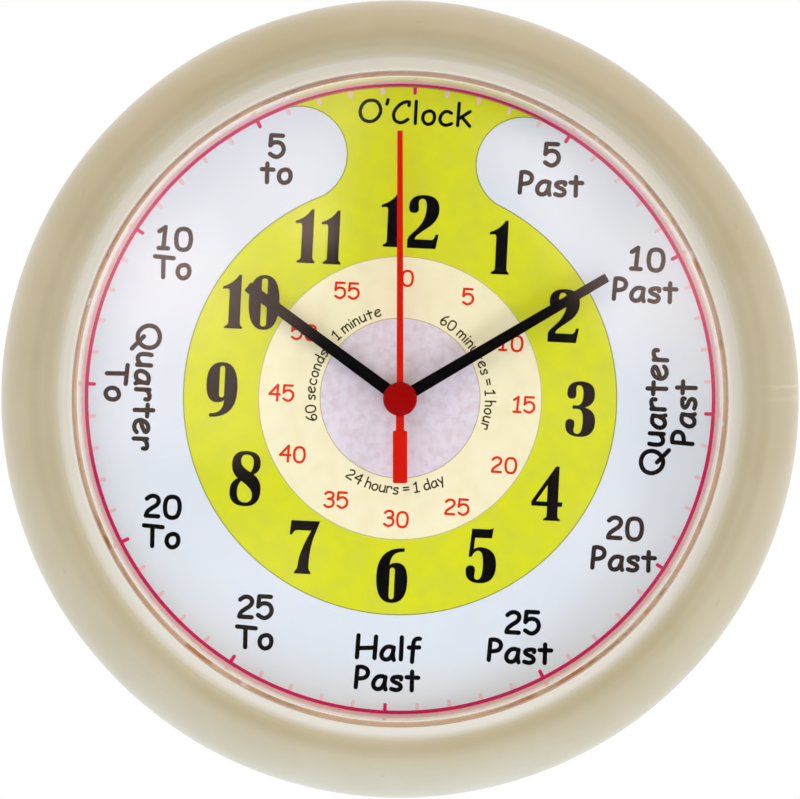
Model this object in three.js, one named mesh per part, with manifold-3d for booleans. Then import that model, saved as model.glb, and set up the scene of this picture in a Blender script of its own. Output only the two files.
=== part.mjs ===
// Teaching wall clock: round case, printed dial behind a clear lens, three hands and a quartz movement.
// Everything is laid out as seen from the front: x to the right, y up, and z from the wall to the viewer.
// The last lines turn the clock so that it faces -Y with +Z up, its origin on the hands' axis at mid depth.
import * as THREE from 'three';
import { mergeVertices } from 'three/addons/utils/BufferGeometryUtils.js';
import Module from 'manifold-3d';

const wasm = await Module();
wasm.setup();

const fullTurn = 2 * Math.PI;
const degree = Math.PI / 180;

// Clearances
const runningGap = 0.3;
const cutOverrun = 1;

// Facets of round pieces
const caseSegments = 48;
const rollSteps = 7;
const innerRollSteps = 3;
const hiddenRollSteps = 3;
const largeSides = 24;
const smallSides = 16;
const pinSides = 12;

// Case ring
const caseRadius = 150;
const backEdgeInset = 1.5;
const widestHeight = 14;
const skin = 2.5;
const rollWidth = 19.5;
const innerRollWidth = 6.2;
const innerRollDrop = 4.4;
const shelfWidth = 2.1;
const beadWidth = 1.7;
const beadHeight = 0.5;
const beadChamfer = 0.4;
const ledgeWidth = 2.1;
const wellDraft = 0.75;
const wellWallWidth = 2.65;

// Lens and its adhesive
const lensThickness = 2;
const lensBelowBead = 0.6;
const sealThickness = 0.4;
const sealWidth = 1.7;

// Dial
const wellDepth = 15.1;
const printThickness = 0.3;
const plateThickness = 2.2;
const ribHeight = 3;
const ribWidth = 1.6;
const ribCount = 8;
const ribRingInset = 8;
const ribRingClearance = 12;

// Plate screws and their bosses
const plateScrewCount = 6;
const plateScrewStart = 30 * degree;
const screwShankRadius = 1.5;
const screwHeadRadius = 3;
const screwHeadHeight = 1.8;
const screwCrownShare = 0.7;
const screwLength = 10;
const screwTipLength = 1.2;
const bossRadius = 3.8;
const bossOutset = 2.5;
const bossHoleDepth = 12;

// Hanger
const bracketThickness = 1;
const bracketWidth = 26;
const bracketBelowAxis = 11;
const bracketToMovement = 2.5;
const hookHeight = 4.5;
const hookReach = 24;
const keyholeRadius = 4.6;
const keySlotHalfWidth = 2.2;
const keySlotLength = 8;
const keyholeRise = 8;

// Movement
const wallClearance = 0.8;
const coverThickness = 1.2;
const frontWall = 1.2;
const sideWall = 1.2;
const housingCorner = 3;
const roomAboveAxis = 27;
const roomBelowWheels = 3.6;
const rearRoom = 1.2;
const wheelThickness = 0.8;
const wheelSpacing = 1.1;
const pinionOverhang = 0.3;
const trainPlateThickness = 0.8;
const trainPlateGap = 0.5;
const trainPlateMargin = 4.5;
const arborRadius = 0.5;
const pivotBossWall = 0.6;
const pivotDepth = 0.9;
const pillarRadius = 1.4;

// Tooth counts
const rotorTeeth = 6;
const intermediateTeeth = 30;
const intermediatePinionTeeth = 6;
const secondTeeth = 36;
const secondPinionTeeth = 6;
const thirdTeeth = 45;
const thirdPinionTeeth = 6;
const centreTeeth = 48;
const cannonTeeth = 10;
const minuteTeeth = 30;
const minutePinionTeeth = 8;
const hourTeeth = 32;
const knobTeeth = 10;

// Modules and tooth form
const rotorModule = 0.35;
const secondModule = 0.32;
const thirdModule = 0.34;
const motionModule = 0.4;
const tipShare = 0.8;
const rootShare = 1.15;
const tipWidthShare = 0.2;
const pitchWidthShare = 0.36;
const rootWidthShare = 0.46;

// Directions from one arbor to the next
const intermediateDirection = 180 * degree;
const rotorDirection = 150 * degree;
const thirdDirection = 100 * degree;
const minuteWheelDirection = 0;
const knobDirection = 30 * degree;

// Hollow shafts
const hourTubeRadius = 2.5;
const minuteTubeRadius = 1.5;
const minuteStudRadius = 0.5;
const centreHubRadius = 2.6;

// Stepping motor
const magnetRadius = 2.4;
const magnetThickness = 1.8;
const magnetGap = 0.5;
const statorWeb = 1;
const statorThickness = 0.9;
const statorArmWidth = 4;
const statorBelowAxis = 9.5;
const statorAboveAxis = 17;
const statorPegRadius = 0.9;
const statorShoulderRadius = 1.6;
const statorPegInset = 2.4;
const coilSide = 7.8;
const coilFlange = 1;
const coilCoreWidth = 3.6;
const coilToStator = 1.9;
const coilWallGap = 0.8;
const windingInset = 0.5;
const bobbinTubeWall = 0.7;

// Cell and contacts
const cellRadius = 7.25;
const cellBodyLength = 49.2;
const cellNubLength = 1.3;
const cellNubRadius = 2.75;
const cellShoulder = 0.6;
const contactRoom = 1.4;
const contactThickness = 0.3;
const contactWidth = 7;
const contactDepth = 5;
const contactTab = 2;
const bayWall = 1;
const contactSlotWidth = 1;

// Circuit board
const boardThickness = 1;
const boardHeight = 9;
const boardWidth = 8.2;
const boardTopGap = 0.8;
const boardEdgeGap = 0.6;
const boardToKnob = 0.6;
const boardScrewInset = 5;
const boardPostRadius = 1.6;
const boardScrewRadius = 0.8;
const boardScrewHeadRadius = 1.7;
const boardScrewHeadHeight = 0.8;
const boardScrewLength = 5;
const chipRadius = 3;
const chipHeight = 1.2;
const chipSteps = 3;
const crystalRadius = 1;
const crystalLength = 6;
const crystalShift = 8;

// Setting knob
const knobRadius = 4.6;
const knobGripDepth = 0.35;
const knobGripCount = 18;
const knobHeadHeight = 2.2;
const knobToCover = 0.4;
const knobShaftRadius = 1.5;
const knobPivotRadius = 0.7;

// Cover catches
const catchWidth = 6;
const catchLength = 5;
const catchThickness = 0.9;
const catchWindowLength = 2.2;
const catchWindowMargin = 1.2;
const catchHeight = 12;
const catchSpacing = 15;

// Fasteners on the dial
const bushingRadius = 4;
const bushingAboveNut = 0.5;
const gasketThickness = 0.8;
const gasketRadius = 9;
const washerThickness = 0.6;
const washerRadius = 7.5;
const nutHeight = 2.2;
const nutCornerRadius = 6.6;

// Hands, at the reading that the photograph shows
const hourHandAngle = 303.6 * degree;
const minuteHandAngle = 56.8 * degree;
const secondHandAngle = -2.8 * degree;
const handThickness = 0.6;
const handSpacing = 0.9;
const hourHandLength = 70;
const hourHandRootWidth = 4.6;
const hourHandTipWidth = 3.9;
const hourHubRadius = 4.8;
const colletHeight = 0.5;
const colletWidth = 0.9;
const minuteHandLength = 88.5;
const minuteHandRootWidth = 4.5;
const minuteHandTipWidth = 3.4;
const minuteHubRadius = 4.2;
const minuteNutHeight = 1.1;
const minuteNutRadius = 2.8;
const secondHandLength = 99.5;
const secondHandRootWidth = 2.5;
const secondHandTipWidth = 1.7;
const secondTailNeckWidth = 3;
const secondTailNeckLength = 11;
const secondWeightWidth = 5.3;
const secondWeightEnd = 31;
const secondHubRadius = 4.4;
const pipeRadius = 1.1;
const pipeFlangeRadius = 2;
const pipeFlangeHeight = 0.4;
const capRadius = 6.25;
const capEdgeHeight = 0.9;
const capHeight = 2.6;
const capSteps = 4;
const tipCorner = 0.5;

// Places of the arbors
const along = (from, direction, distance) => new THREE.Vector2(
  from.x + distance * Math.cos(direction),
  from.y + distance * Math.sin(direction),
);
const meshDistance = (module, teethA, teethB) => module * (teethA + teethB) / 2;
const tipRadius = (teeth, module) => module * (teeth / 2 + tipShare);
const thirdDistance = meshDistance(thirdModule, secondPinionTeeth, thirdTeeth);
const centreModule = 2 * thirdDistance / (thirdPinionTeeth + centreTeeth);
const motionDistance = meshDistance(motionModule, cannonTeeth, minuteTeeth);
const hourModule = 2 * motionDistance / (minutePinionTeeth + hourTeeth);
const axis = new THREE.Vector2(0, 0);
const intermediateAt = along(axis, intermediateDirection,
  meshDistance(secondModule, intermediatePinionTeeth, secondTeeth));
const rotorAt = along(intermediateAt, rotorDirection,
  meshDistance(rotorModule, rotorTeeth, intermediateTeeth));
const thirdAt = along(axis, thirdDirection, thirdDistance);
const minuteWheelAt = along(axis, minuteWheelDirection, motionDistance);
const knobAt = along(minuteWheelAt, knobDirection, meshDistance(motionModule, minuteTeeth, knobTeeth));

// Depth from the wall, through the movement
const coverBack = wallClearance + knobHeadHeight + knobToCover;
const coverFront = coverBack + coverThickness;
const wheelStep = wheelThickness + wheelSpacing;
const intermediateLevel = coverFront + rearRoom;
const secondLevel = intermediateLevel + wheelStep;
const thirdLevel = secondLevel + wheelStep;
const trainPlateBack = thirdLevel + wheelThickness + trainPlateGap;
const trainPlateFront = trainPlateBack + trainPlateThickness;
const centreLevel = thirdLevel + wheelStep + trainPlateThickness;
const minuteLevel = centreLevel + wheelStep;
const hourLevel = minuteLevel + wheelStep;
const trainFront = hourLevel + wheelThickness + pinionOverhang + runningGap;
const cellFront = coverBack + 2 * cellRadius + 2 * runningGap;
const frontInside = Math.max(trainFront, cellFront);
const movementFront = frontInside + frontWall;

// Depth from the movement to the crest of the case
const bracketFront = movementFront + bracketThickness;
const plateBack = bracketFront + gasketThickness;
const plateFront = plateBack + plateThickness;
const dialFront = plateFront + printThickness;
const ledgeHeight = dialFront + wellDepth;
const lensBack = ledgeHeight + sealThickness;
const lensFront = lensBack + lensThickness;
const beadTop = lensFront + lensBelowBead;
const shelfTop = beadTop - beadHeight;
const caseDepth = shelfTop + innerRollDrop;

// Depth from the dial to the second hand's cap
const washerFront = dialFront + washerThickness;
const nutFront = washerFront + nutHeight;
const bushingFront = nutFront + bushingAboveNut;
const hourHandBack = bushingFront + runningGap + colletHeight;
const hourHandFront = hourHandBack + handThickness;
const minuteHandBack = hourHandFront + handSpacing;
const minuteHandFront = minuteHandBack + handThickness;
const minuteNutFront = minuteHandFront + minuteNutHeight;
const pipeBack = minuteNutFront + runningGap;
const secondHandBack = pipeBack + pipeFlangeHeight;
const secondHandFront = secondHandBack + handThickness;
const pipeFront = secondHandFront + handThickness;

// Radii of the case, from the outside in
const crestRadius = caseRadius - rollWidth;
const shelfOuterRadius = crestRadius - innerRollWidth;
const beadOuterRadius = shelfOuterRadius - shelfWidth;
const rebateRadius = beadOuterRadius - beadWidth;
const ledgeRadius = rebateRadius - ledgeWidth;
const wellRadius = ledgeRadius - wellDraft;
const wellWallRadius = wellRadius + wellWallWidth;
const lensRadius = rebateRadius - runningGap;
const printRadius = wellRadius - runningGap;
const bossCircleRadius = crestRadius + bossOutset;

// Width and height of the movement
const cellLength = cellBodyLength + cellNubLength;
const statorHalfBar = magnetRadius + magnetGap + statorWeb;
const coilAt = rotorAt.x - statorHalfBar - coilToStator - coilSide / 2;
const boardLeft = knobAt.x + tipRadius(knobTeeth, motionModule) + boardToKnob;
const boardRight = boardLeft + boardWidth;
const halfInside = Math.max(
  cellLength / 2 + contactRoom,
  coilSide / 2 - coilAt + coilWallGap,
  boardRight + boardEdgeGap,
);
const halfHousing = halfInside + sideWall;
const hourTip = tipRadius(hourTeeth, hourModule);
const bayWallTop = -(Math.max(hourTip, tipRadius(secondTeeth, secondModule)) + roomBelowWheels);
const bayTop = bayWallTop - bayWall;
const cellAt = bayTop - runningGap - cellRadius;
const bayBottom = cellAt - cellRadius - runningGap;
const housingBottom = bayBottom - sideWall;
const housingTop = roomAboveAxis + sideWall;
const cellDepthAt = coverBack + runningGap + cellRadius;

// Solids
function toSolid(geometry) {
  const bare = geometry.clone();
  bare.deleteAttribute('normal');
  bare.deleteAttribute('uv');
  const merged = mergeVertices(bare, 1e-5);
  const corners = merged.index.array;
  const kept = [];
  for (let i = 0; i < corners.length; i += 3) {
    const [a, b, c] = [corners[i], corners[i + 1], corners[i + 2]];
    if (a !== b && b !== c && c !== a) {
      kept.push(a, b, c);
    }
  }
  return new wasm.Manifold(new wasm.Mesh({
    numProp: 3,
    vertProperties: new Float32Array(merged.attributes.position.array),
    triVerts: new Uint32Array(kept),
  }));
}

function toGeometry(solid) {
  const mesh = solid.getMesh();
  const geometry = new THREE.BufferGeometry();
  geometry.setAttribute('position', new THREE.BufferAttribute(mesh.vertProperties, 3));
  geometry.setIndex(new THREE.BufferAttribute(mesh.triVerts, 1));
  geometry.computeVertexNormals();
  return geometry;
}

const join = (first, ...others) => others.reduce((sum, next) => sum.add(next), first);
const cut = (body, ...tools) => tools.reduce((rest, tool) => rest.subtract(tool), body);

// A profile of [radius, height] pairs turned about the z axis
function turned(profile, segments) {
  const points = profile.map(([radius, height]) => new THREE.Vector2(radius, height));
  const geometry = new THREE.LatheGeometry(points, segments);
  geometry.rotateX(Math.PI / 2);
  return toSolid(geometry);
}

const rod = (radius, low, high, sides = smallSides, at = axis) => turned(
  [[0, low], [radius, low], [radius, high], [0, high]], sides,
).translate([at.x, at.y, 0]);

const pipe = (outer, inner, low, high, sides = smallSides) => turned(
  [[inner, low], [outer, low], [outer, high], [inner, high], [inner, low]], sides,
);

function prism(points, low, high) {
  const geometry = new THREE.ExtrudeGeometry(new THREE.Shape(points), {
    depth: high - low,
    bevelEnabled: false,
    curveSegments: 1,
  });
  geometry.translate(0, 0, low);
  return toSolid(geometry);
}

const block = (left, right, bottom, top, low, high) => prism([
  new THREE.Vector2(left, bottom),
  new THREE.Vector2(right, bottom),
  new THREE.Vector2(right, top),
  new THREE.Vector2(left, top),
], low, high);

function roundedBlock(left, right, bottom, top, corner, low, high) {
  const shape = new THREE.Shape();
  shape.absarc(right - corner, bottom + corner, corner, -Math.PI / 2, 0);
  shape.absarc(right - corner, top - corner, corner, 0, Math.PI / 2);
  shape.absarc(left + corner, top - corner, corner, Math.PI / 2, Math.PI);
  shape.absarc(left + corner, bottom + corner, corner, Math.PI, 1.5 * Math.PI);
  return prism(shape.getPoints(3), low, high);
}

// Gears: a tooth stands at the phase angle, and each tooth has a root, pitch and tip width
function gear(teeth, module, phase, low, high) {
  const pitch = fullTurn / teeth;
  const root = module * (teeth / 2 - rootShare);
  const tip = tipRadius(teeth, module);
  const outline = [];
  for (let tooth = 0; tooth < teeth; tooth += 1) {
    const middle = phase + tooth * pitch;
    const corners = [
      [root, -rootWidthShare / 2],
      [tip, -tipWidthShare / 2],
      [tip, tipWidthShare / 2],
      [root, rootWidthShare / 2],
    ];
    for (const [radius, share] of corners) {
      outline.push(along(axis, middle + share * pitch, radius));
    }
  }
  return prism(outline, low, high);
}

// The phase at which a driven gear's gap meets the driver's tooth on the line of centres
function meshedPhase(driverPhase, driverTeeth, drivenTeeth, direction) {
  const teethPassed = (direction - driverPhase) * driverTeeth / fullTurn;
  return direction + Math.PI + (teethPassed + 0.5) * fullTurn / drivenTeeth;
}

const rotorPhase = 0;
const intermediatePhase = meshedPhase(rotorPhase, rotorTeeth, intermediateTeeth, rotorDirection + Math.PI);
const secondPhase = meshedPhase(intermediatePhase, intermediatePinionTeeth, secondTeeth,
  intermediateDirection + Math.PI);
const thirdPhase = meshedPhase(secondPhase, secondPinionTeeth, thirdTeeth, thirdDirection);
const centrePhase = meshedPhase(thirdPhase, thirdPinionTeeth, centreTeeth, thirdDirection + Math.PI);
const cannonPhase = 0;
const minutePhase = meshedPhase(cannonPhase, cannonTeeth, minuteTeeth, minuteWheelDirection);
const hourPhase = meshedPhase(minutePhase, minutePinionTeeth, hourTeeth, minuteWheelDirection + Math.PI);
const knobPhase = meshedPhase(minutePhase, minuteTeeth, knobTeeth, knobDirection);

const wheel = (teeth, module, phase, level) => gear(teeth, module, phase, level, level + wheelThickness);
const pinion = (teeth, module, phase, level) => gear(teeth, module, phase,
  level - pinionOverhang, level + wheelThickness + pinionOverhang);

// Materials
const finish = (color, roughness, metalness = 0) => new THREE.MeshStandardMaterial({
  color, roughness, metalness,
});
const caseFinish = finish(0xcfc3a9, 0.3);
const lensFinish = new THREE.MeshStandardMaterial({
  color: 0xf4f8fa, roughness: 0.05, transparent: true, opacity: 0.15,
});
const sealFinish = finish(0xa9805c, 0.7);
const paperFinish = finish(0xe6e8f0, 0.6);
const plateFinish = finish(0xece8dc, 0.5);
const blackPlastic = finish(0x1c1c1e, 0.5);
const greyPlastic = finish(0x6d7074, 0.5);
const whitePlastic = finish(0xe8e6de, 0.45);
const amberPlastic = finish(0xd9a441, 0.45);
const rubberFinish = finish(0x222222, 0.9);
const steelFinish = finish(0xb9bcc0, 0.35, 1);
const brassFinish = finish(0xc9a24a, 0.3, 1);
const magnetFinish = finish(0x3a3a3d, 0.4, 0.8);
const copperFinish = finish(0xb2602f, 0.4, 0.8);
const boardFinish = finish(0x1f6b3a, 0.5);
const cellFinish = finish(0x8f9499, 0.3, 0.8);
const blackPaint = finish(0x060608, 0.4);
const redPaint = finish(0xd21d06, 0.45);

const piece = (name, solid, material) => {
  const mesh = new THREE.Mesh(toGeometry(solid), material);
  mesh.name = name;
  return mesh;
};

// Case ring: an elliptical roll, a shelf, a bead and a rebate for the lens, and the well wall to the dial
function ellipsePoints(centreRadius, centreHeight, wide, tall, from, to, steps) {
  const points = [];
  for (let i = 0; i <= steps; i += 1) {
    const angle = from + (to - from) * i / steps;
    points.push([centreRadius + wide * Math.cos(angle), centreHeight + tall * Math.sin(angle)]);
  }
  return points;
}

function bossPlaces() {
  const places = [];
  for (let i = 0; i < plateScrewCount; i += 1) {
    places.push(along(axis, plateScrewStart + i * fullTurn / plateScrewCount, bossCircleRadius));
  }
  return places;
}

function caseRing() {
  const rollHeight = caseDepth - widestHeight;
  const ledgeUnderside = ledgeHeight - skin;
  const profile = [
    [caseRadius - backEdgeInset, 0],
    [caseRadius - backEdgeInset / 4, widestHeight / 2],
    ...ellipsePoints(crestRadius, widestHeight, rollWidth, rollHeight, 0, Math.PI / 2, rollSteps),
    ...ellipsePoints(crestRadius, shelfTop, innerRollWidth, innerRollDrop,
      Math.PI / 2, Math.PI, innerRollSteps).slice(1),
    [beadOuterRadius, shelfTop],
    [beadOuterRadius - beadChamfer, beadTop],
    [rebateRadius + beadChamfer, beadTop],
    [rebateRadius, beadTop - beadChamfer],
    [rebateRadius, ledgeHeight],
    [ledgeRadius, ledgeHeight],
    [wellRadius, plateFront],
    [wellWallRadius, plateFront],
    [wellWallRadius, ledgeUnderside],
    [rebateRadius + skin, ledgeUnderside],
    [shelfOuterRadius + skin, shelfTop - skin],
    ...ellipsePoints(crestRadius, widestHeight, rollWidth - skin, rollHeight - skin,
      Math.PI / 2, 0, hiddenRollSteps),
    [caseRadius - backEdgeInset - skin, 0],
    [caseRadius - backEdgeInset, 0],
  ];
  const bosses = bossPlaces().map((at) => rod(bossRadius, plateFront, caseDepth - skin, pinSides, at));
  const holes = bossPlaces().map((at) => rod(screwShankRadius + runningGap,
    plateFront - cutOverrun, plateFront + bossHoleDepth, pinSides, at));
  return cut(join(turned(profile, caseSegments), ...bosses), ...holes);
}

const lensDisc = () => rod(lensRadius, lensBack, lensFront, caseSegments);
const lensSeal = () => pipe(lensRadius, lensRadius - sealWidth, ledgeHeight, lensBack, caseSegments);

// Dial: a printed sheet on a plate that is ribbed behind
const dialPrint = () => pipe(printRadius, bushingRadius + runningGap, plateFront, dialFront, caseSegments);

function hookTop() {
  return housingTop + bracketToMovement + bracketThickness + hookReach;
}

function dialPlate() {
  const rollAtPlate = Math.sqrt(1 - ((plateFront - widestHeight) / (caseDepth - widestHeight - skin)) ** 2);
  const plateRadius = crestRadius + (rollWidth - skin) * rollAtPlate - cutOverrun;
  const outerRib = bossCircleRadius - ribRingInset;
  const innerRib = hookTop() + ribRingClearance;
  const ribBack = plateBack - ribHeight;
  const ribs = [];
  for (let i = 0; i < ribCount; i += 1) {
    const turn = plateScrewStart / 2 + i * fullTurn / ribCount;
    const rib = block(innerRib, outerRib, -ribWidth / 2, ribWidth / 2, ribBack, plateBack + printThickness);
    ribs.push(rib.rotate([0, 0, turn / degree]));
  }
  const holes = bossPlaces().map((at) => rod(screwShankRadius + runningGap,
    plateBack - cutOverrun, plateFront + cutOverrun, pinSides, at));
  const disc = pipe(plateRadius, bushingRadius + runningGap, plateBack, plateFront, caseSegments);
  const rings = [innerRib, outerRib].map((radius) => pipe(radius + ribWidth / 2, radius - ribWidth / 2,
    ribBack, plateBack + printThickness, caseSegments));
  return cut(join(disc, ...rings, ...ribs), ...holes);
}

const plateScrew = () => turned([
  [0, plateBack - screwHeadHeight],
  [screwHeadRadius * screwCrownShare, plateBack - screwHeadHeight],
  [screwHeadRadius, plateBack - screwHeadHeight / 2],
  [screwHeadRadius, plateBack],
  [screwShankRadius, plateBack],
  [screwShankRadius, plateBack + screwLength - screwTipLength],
  [0, plateBack + screwLength],
], pinSides);

// Hanger: a steel strip that cranks back over the movement to a keyhole
function hangerBracket() {
  const crank = housingTop + bracketToMovement;
  const outline = [
    [-bracketBelowAxis, movementFront],
    [crank, movementFront],
    [crank, hookHeight],
    [hookTop(), hookHeight],
    [hookTop(), hookHeight + bracketThickness],
    [crank + bracketThickness, hookHeight + bracketThickness],
    [crank + bracketThickness, bracketFront],
    [-bracketBelowAxis, bracketFront],
  ].map(([y, z]) => new THREE.Vector2(y, z));
  const strip = prism(outline, -bracketWidth / 2, bracketWidth / 2);
  const bent = strip.rotate([90, 0, 90]);
  const keyholeAt = new THREE.Vector2(0, crank + bracketThickness + keyholeRise);
  const slotTop = keyholeAt.y + keySlotLength;
  const hookBack = hookHeight - cutOverrun;
  const hookFront = hookHeight + bracketThickness + cutOverrun;
  return cut(
    bent,
    rod(bushingRadius + runningGap, movementFront - cutOverrun, bracketFront + cutOverrun),
    rod(keyholeRadius, hookBack, hookFront, smallSides, keyholeAt),
    block(-keySlotHalfWidth, keySlotHalfWidth, keyholeAt.y, slotTop, hookBack, hookFront),
    rod(keySlotHalfWidth, hookBack, hookFront, pinSides, new THREE.Vector2(0, slotTop)),
  );
}

// Fasteners that clamp the movement to the dial
const rubberGasket = () => pipe(gasketRadius, bushingRadius + runningGap, bracketFront, plateBack);
const brassWasher = () => pipe(washerRadius, bushingRadius + runningGap, dialFront, washerFront, largeSides);
const hexNut = () => cut(
  rod(nutCornerRadius, washerFront, nutFront, 6),
  rod(bushingRadius + runningGap, washerFront - cutOverrun, nutFront + cutOverrun),
);

// Movement housing: a tray for the train, a bay for the cell, and the bushing that carries the hands
const pivotHole = arborRadius + runningGap;
const pivotBossRadius = pivotHole + pivotBossWall;
const trainPillars = () => {
  const left = rotorAt.x - pillarRadius - trainPlateMargin / 2;
  const right = minuteWheelAt.x + pillarRadius;
  const low = bayWallTop + pillarRadius + 2 * runningGap;
  const high = thirdAt.y + tipRadius(thirdTeeth, thirdModule);
  return [
    new THREE.Vector2(left, low),
    new THREE.Vector2(right, low),
    new THREE.Vector2(left, high),
    new THREE.Vector2(right, high),
  ];
};
const boardBottom = bayWallTop + runningGap + contactThickness;
const boardTop = roomAboveAxis - boardTopGap;
const boardMiddle = (boardLeft + boardRight) / 2;
const boardFront = boardHeight + boardThickness;
const boardScrewPlaces = () => [
  new THREE.Vector2(boardMiddle, boardBottom + boardScrewInset),
  new THREE.Vector2(boardMiddle, boardTop - boardScrewInset),
];
const catchPlaces = () => [
  [-1, catchHeight],
  [1, catchHeight],
  [-1, catchHeight - catchSpacing],
  [1, catchHeight - catchSpacing],
];

function movementHousing() {
  const rootInWall = movementFront - frontWall / 2;
  const shell = join(
    roundedBlock(-halfHousing, halfHousing, bayTop, housingTop, housingCorner, coverFront, movementFront),
    roundedBlock(-halfHousing, halfHousing, housingBottom, bayWallTop, housingCorner,
      coverBack, movementFront),
    block(-halfHousing, halfHousing, bayTop - housingCorner, bayWallTop + housingCorner,
      coverFront, movementFront),
  );
  const trainRoom = block(-halfInside, halfInside, bayWallTop, roomAboveAxis,
    coverBack - cutOverrun, frontInside);
  const bay = block(-halfInside, halfInside, bayBottom, bayTop, coverBack - cutOverrun, frontInside);
  const slots = [-1, 1].map((side) => block(
    Math.min(side * halfInside, side * (halfInside - contactSlotWidth)),
    Math.max(side * halfInside, side * (halfInside - contactSlotWidth)),
    bayTop - cutOverrun, bayWallTop + cutOverrun, coverBack - cutOverrun, boardFront + contactDepth,
  ));
  const pillars = trainPillars().map((at) => rod(pillarRadius, trainPlateFront, rootInWall, pinSides, at));
  const posts = boardScrewPlaces().map((at) => cut(
    rod(boardPostRadius, boardFront, rootInWall, pinSides, at),
    rod(boardScrewRadius + runningGap, boardFront - cutOverrun, boardFront + boardScrewLength, pinSides, at),
  ));
  const thirdTop = centreLevel + wheelThickness + pinionOverhang + runningGap;
  const thirdBoss = rod(pivotBossRadius, thirdTop + pinionOverhang, rootInWall, pinSides, thirdAt);
  const knobBoss = rod(knobPivotRadius + runningGap + pivotBossWall,
    minuteLevel + wheelThickness + pinionOverhang + runningGap, rootInWall, pinSides, knobAt);
  const stud = rod(minuteStudRadius, minuteLevel, rootInWall, pinSides, minuteWheelAt);
  const bushing = rod(bushingRadius, rootInWall, bushingFront);
  const lugs = catchPlaces().map(([side, y]) => block(
    Math.min(side * (halfHousing - sideWall / 2), side * (halfHousing + catchThickness)),
    Math.max(side * (halfHousing - sideWall / 2), side * (halfHousing + catchThickness)),
    y - catchWidth / 2 + catchWindowMargin + runningGap,
    y + catchWidth / 2 - catchWindowMargin - runningGap,
    coverFront + catchLength - catchWindowMargin - catchWindowLength + runningGap,
    coverFront + catchLength - catchWindowMargin - runningGap,
  ));
  return cut(
    join(cut(shell, trainRoom, bay, ...slots), ...pillars, ...posts, ...lugs,
      thirdBoss, knobBoss, stud, bushing),
    rod(hourTubeRadius + runningGap, frontInside - cutOverrun, bushingFront + cutOverrun),
    rod(pivotHole, thirdTop, thirdTop + pivotDepth + 2 * runningGap, pinSides, thirdAt),
    rod(knobPivotRadius + runningGap, minuteLevel, frontInside, pinSides, knobAt),
  );
}

// Rear cover: pivots for the train, a hole for the knob, and four catches
function movementCover() {
  const plate = roundedBlock(-halfHousing, halfHousing, bayWallTop + runningGap, housingTop, housingCorner,
    coverBack, coverFront);
  const rearPivots = [rotorAt, intermediateAt, thirdAt, axis];
  const bossFront = intermediateLevel - pinionOverhang - runningGap;
  const bosses = rearPivots.map((at) => rod(pivotBossRadius, coverFront - coverThickness / 2, bossFront,
    pinSides, at));
  const holes = rearPivots.map((at) => rod(pivotHole, coverFront - coverThickness / 2, bossFront + cutOverrun,
    pinSides, at));
  const catches = catchPlaces().map(([side, y]) => {
    const near = side * (halfHousing + runningGap);
    const far = side * (halfHousing + runningGap + catchThickness);
    const root = side * (halfHousing - sideWall);
    const arm = block(Math.min(near, far), Math.max(near, far), y - catchWidth / 2, y + catchWidth / 2,
      coverBack, coverFront + catchLength);
    const foot = block(Math.min(root, far), Math.max(root, far), y - catchWidth / 2, y + catchWidth / 2,
      coverBack, coverFront);
    const window = block(Math.min(near, far) - cutOverrun, Math.max(near, far) + cutOverrun,
      y - catchWidth / 2 + catchWindowMargin, y + catchWidth / 2 - catchWindowMargin,
      coverFront + catchLength - catchWindowMargin - catchWindowLength,
      coverFront + catchLength - catchWindowMargin);
    return join(cut(arm, window), foot);
  });
  return cut(
    join(plate, ...bosses, ...catches),
    ...holes,
    rod(knobShaftRadius + runningGap, coverBack - cutOverrun, coverFront + cutOverrun, smallSides, knobAt),
  );
}

// Train plate: carries the front pivots of the rotor and intermediate wheel, and the stator's pegs
const statorBack = secondLevel;
const statorFront = statorBack + statorThickness;
const statorPegPlaces = () => [
  new THREE.Vector2(rotorAt.x, -statorBelowAxis + statorPegInset),
  new THREE.Vector2(rotorAt.x, statorAboveAxis - statorPegInset),
];

function trainPlate() {
  const [lowLeft, , , highRight] = trainPillars();
  const plate = roundedBlock(lowLeft.x - pillarRadius, highRight.x + pillarRadius,
    lowLeft.y - pillarRadius, highRight.y + pillarRadius, pillarRadius, trainPlateBack, trainPlateFront);
  const shoulders = statorPegPlaces().map((at) => rod(statorShoulderRadius, statorFront,
    trainPlateBack + trainPlateThickness / 2, pinSides, at));
  const pegs = statorPegPlaces().map((at) => rod(statorPegRadius, statorBack - statorThickness / 2,
    trainPlateBack, pinSides, at));
  const through = (radius, at) => rod(radius, trainPlateBack - cutOverrun, trainPlateFront + cutOverrun,
    smallSides, at);
  return cut(
    join(plate, ...shoulders, ...pegs),
    through(minuteTubeRadius + runningGap, axis),
    through(tipRadius(thirdPinionTeeth, centreModule) + runningGap, thirdAt),
    through(pivotHole, intermediateAt),
    through(pivotHole, rotorAt),
  );
}

// Stepping motor
function stator() {
  const left = coilAt - coilCoreWidth / 2;
  const right = rotorAt.x + statorHalfBar;
  const sheet = (from, bottom, top) => block(from, right, bottom, top, statorBack, statorFront);
  const bar = sheet(rotorAt.x - statorHalfBar, -statorBelowAxis, statorAboveAxis);
  const lowArm = sheet(left, -statorBelowAxis, -statorBelowAxis + statorArmWidth);
  const highArm = sheet(left, statorAboveAxis - statorArmWidth, statorAboveAxis);
  const holes = statorPegPlaces().map((at) => rod(statorPegRadius + runningGap,
    statorBack - cutOverrun, statorFront + cutOverrun, pinSides, at));
  return cut(
    join(bar, lowArm, highArm),
    rod(magnetRadius + magnetGap, statorBack - cutOverrun, statorFront + cutOverrun, largeSides, rotorAt),
    ...holes,
  );
}

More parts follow.
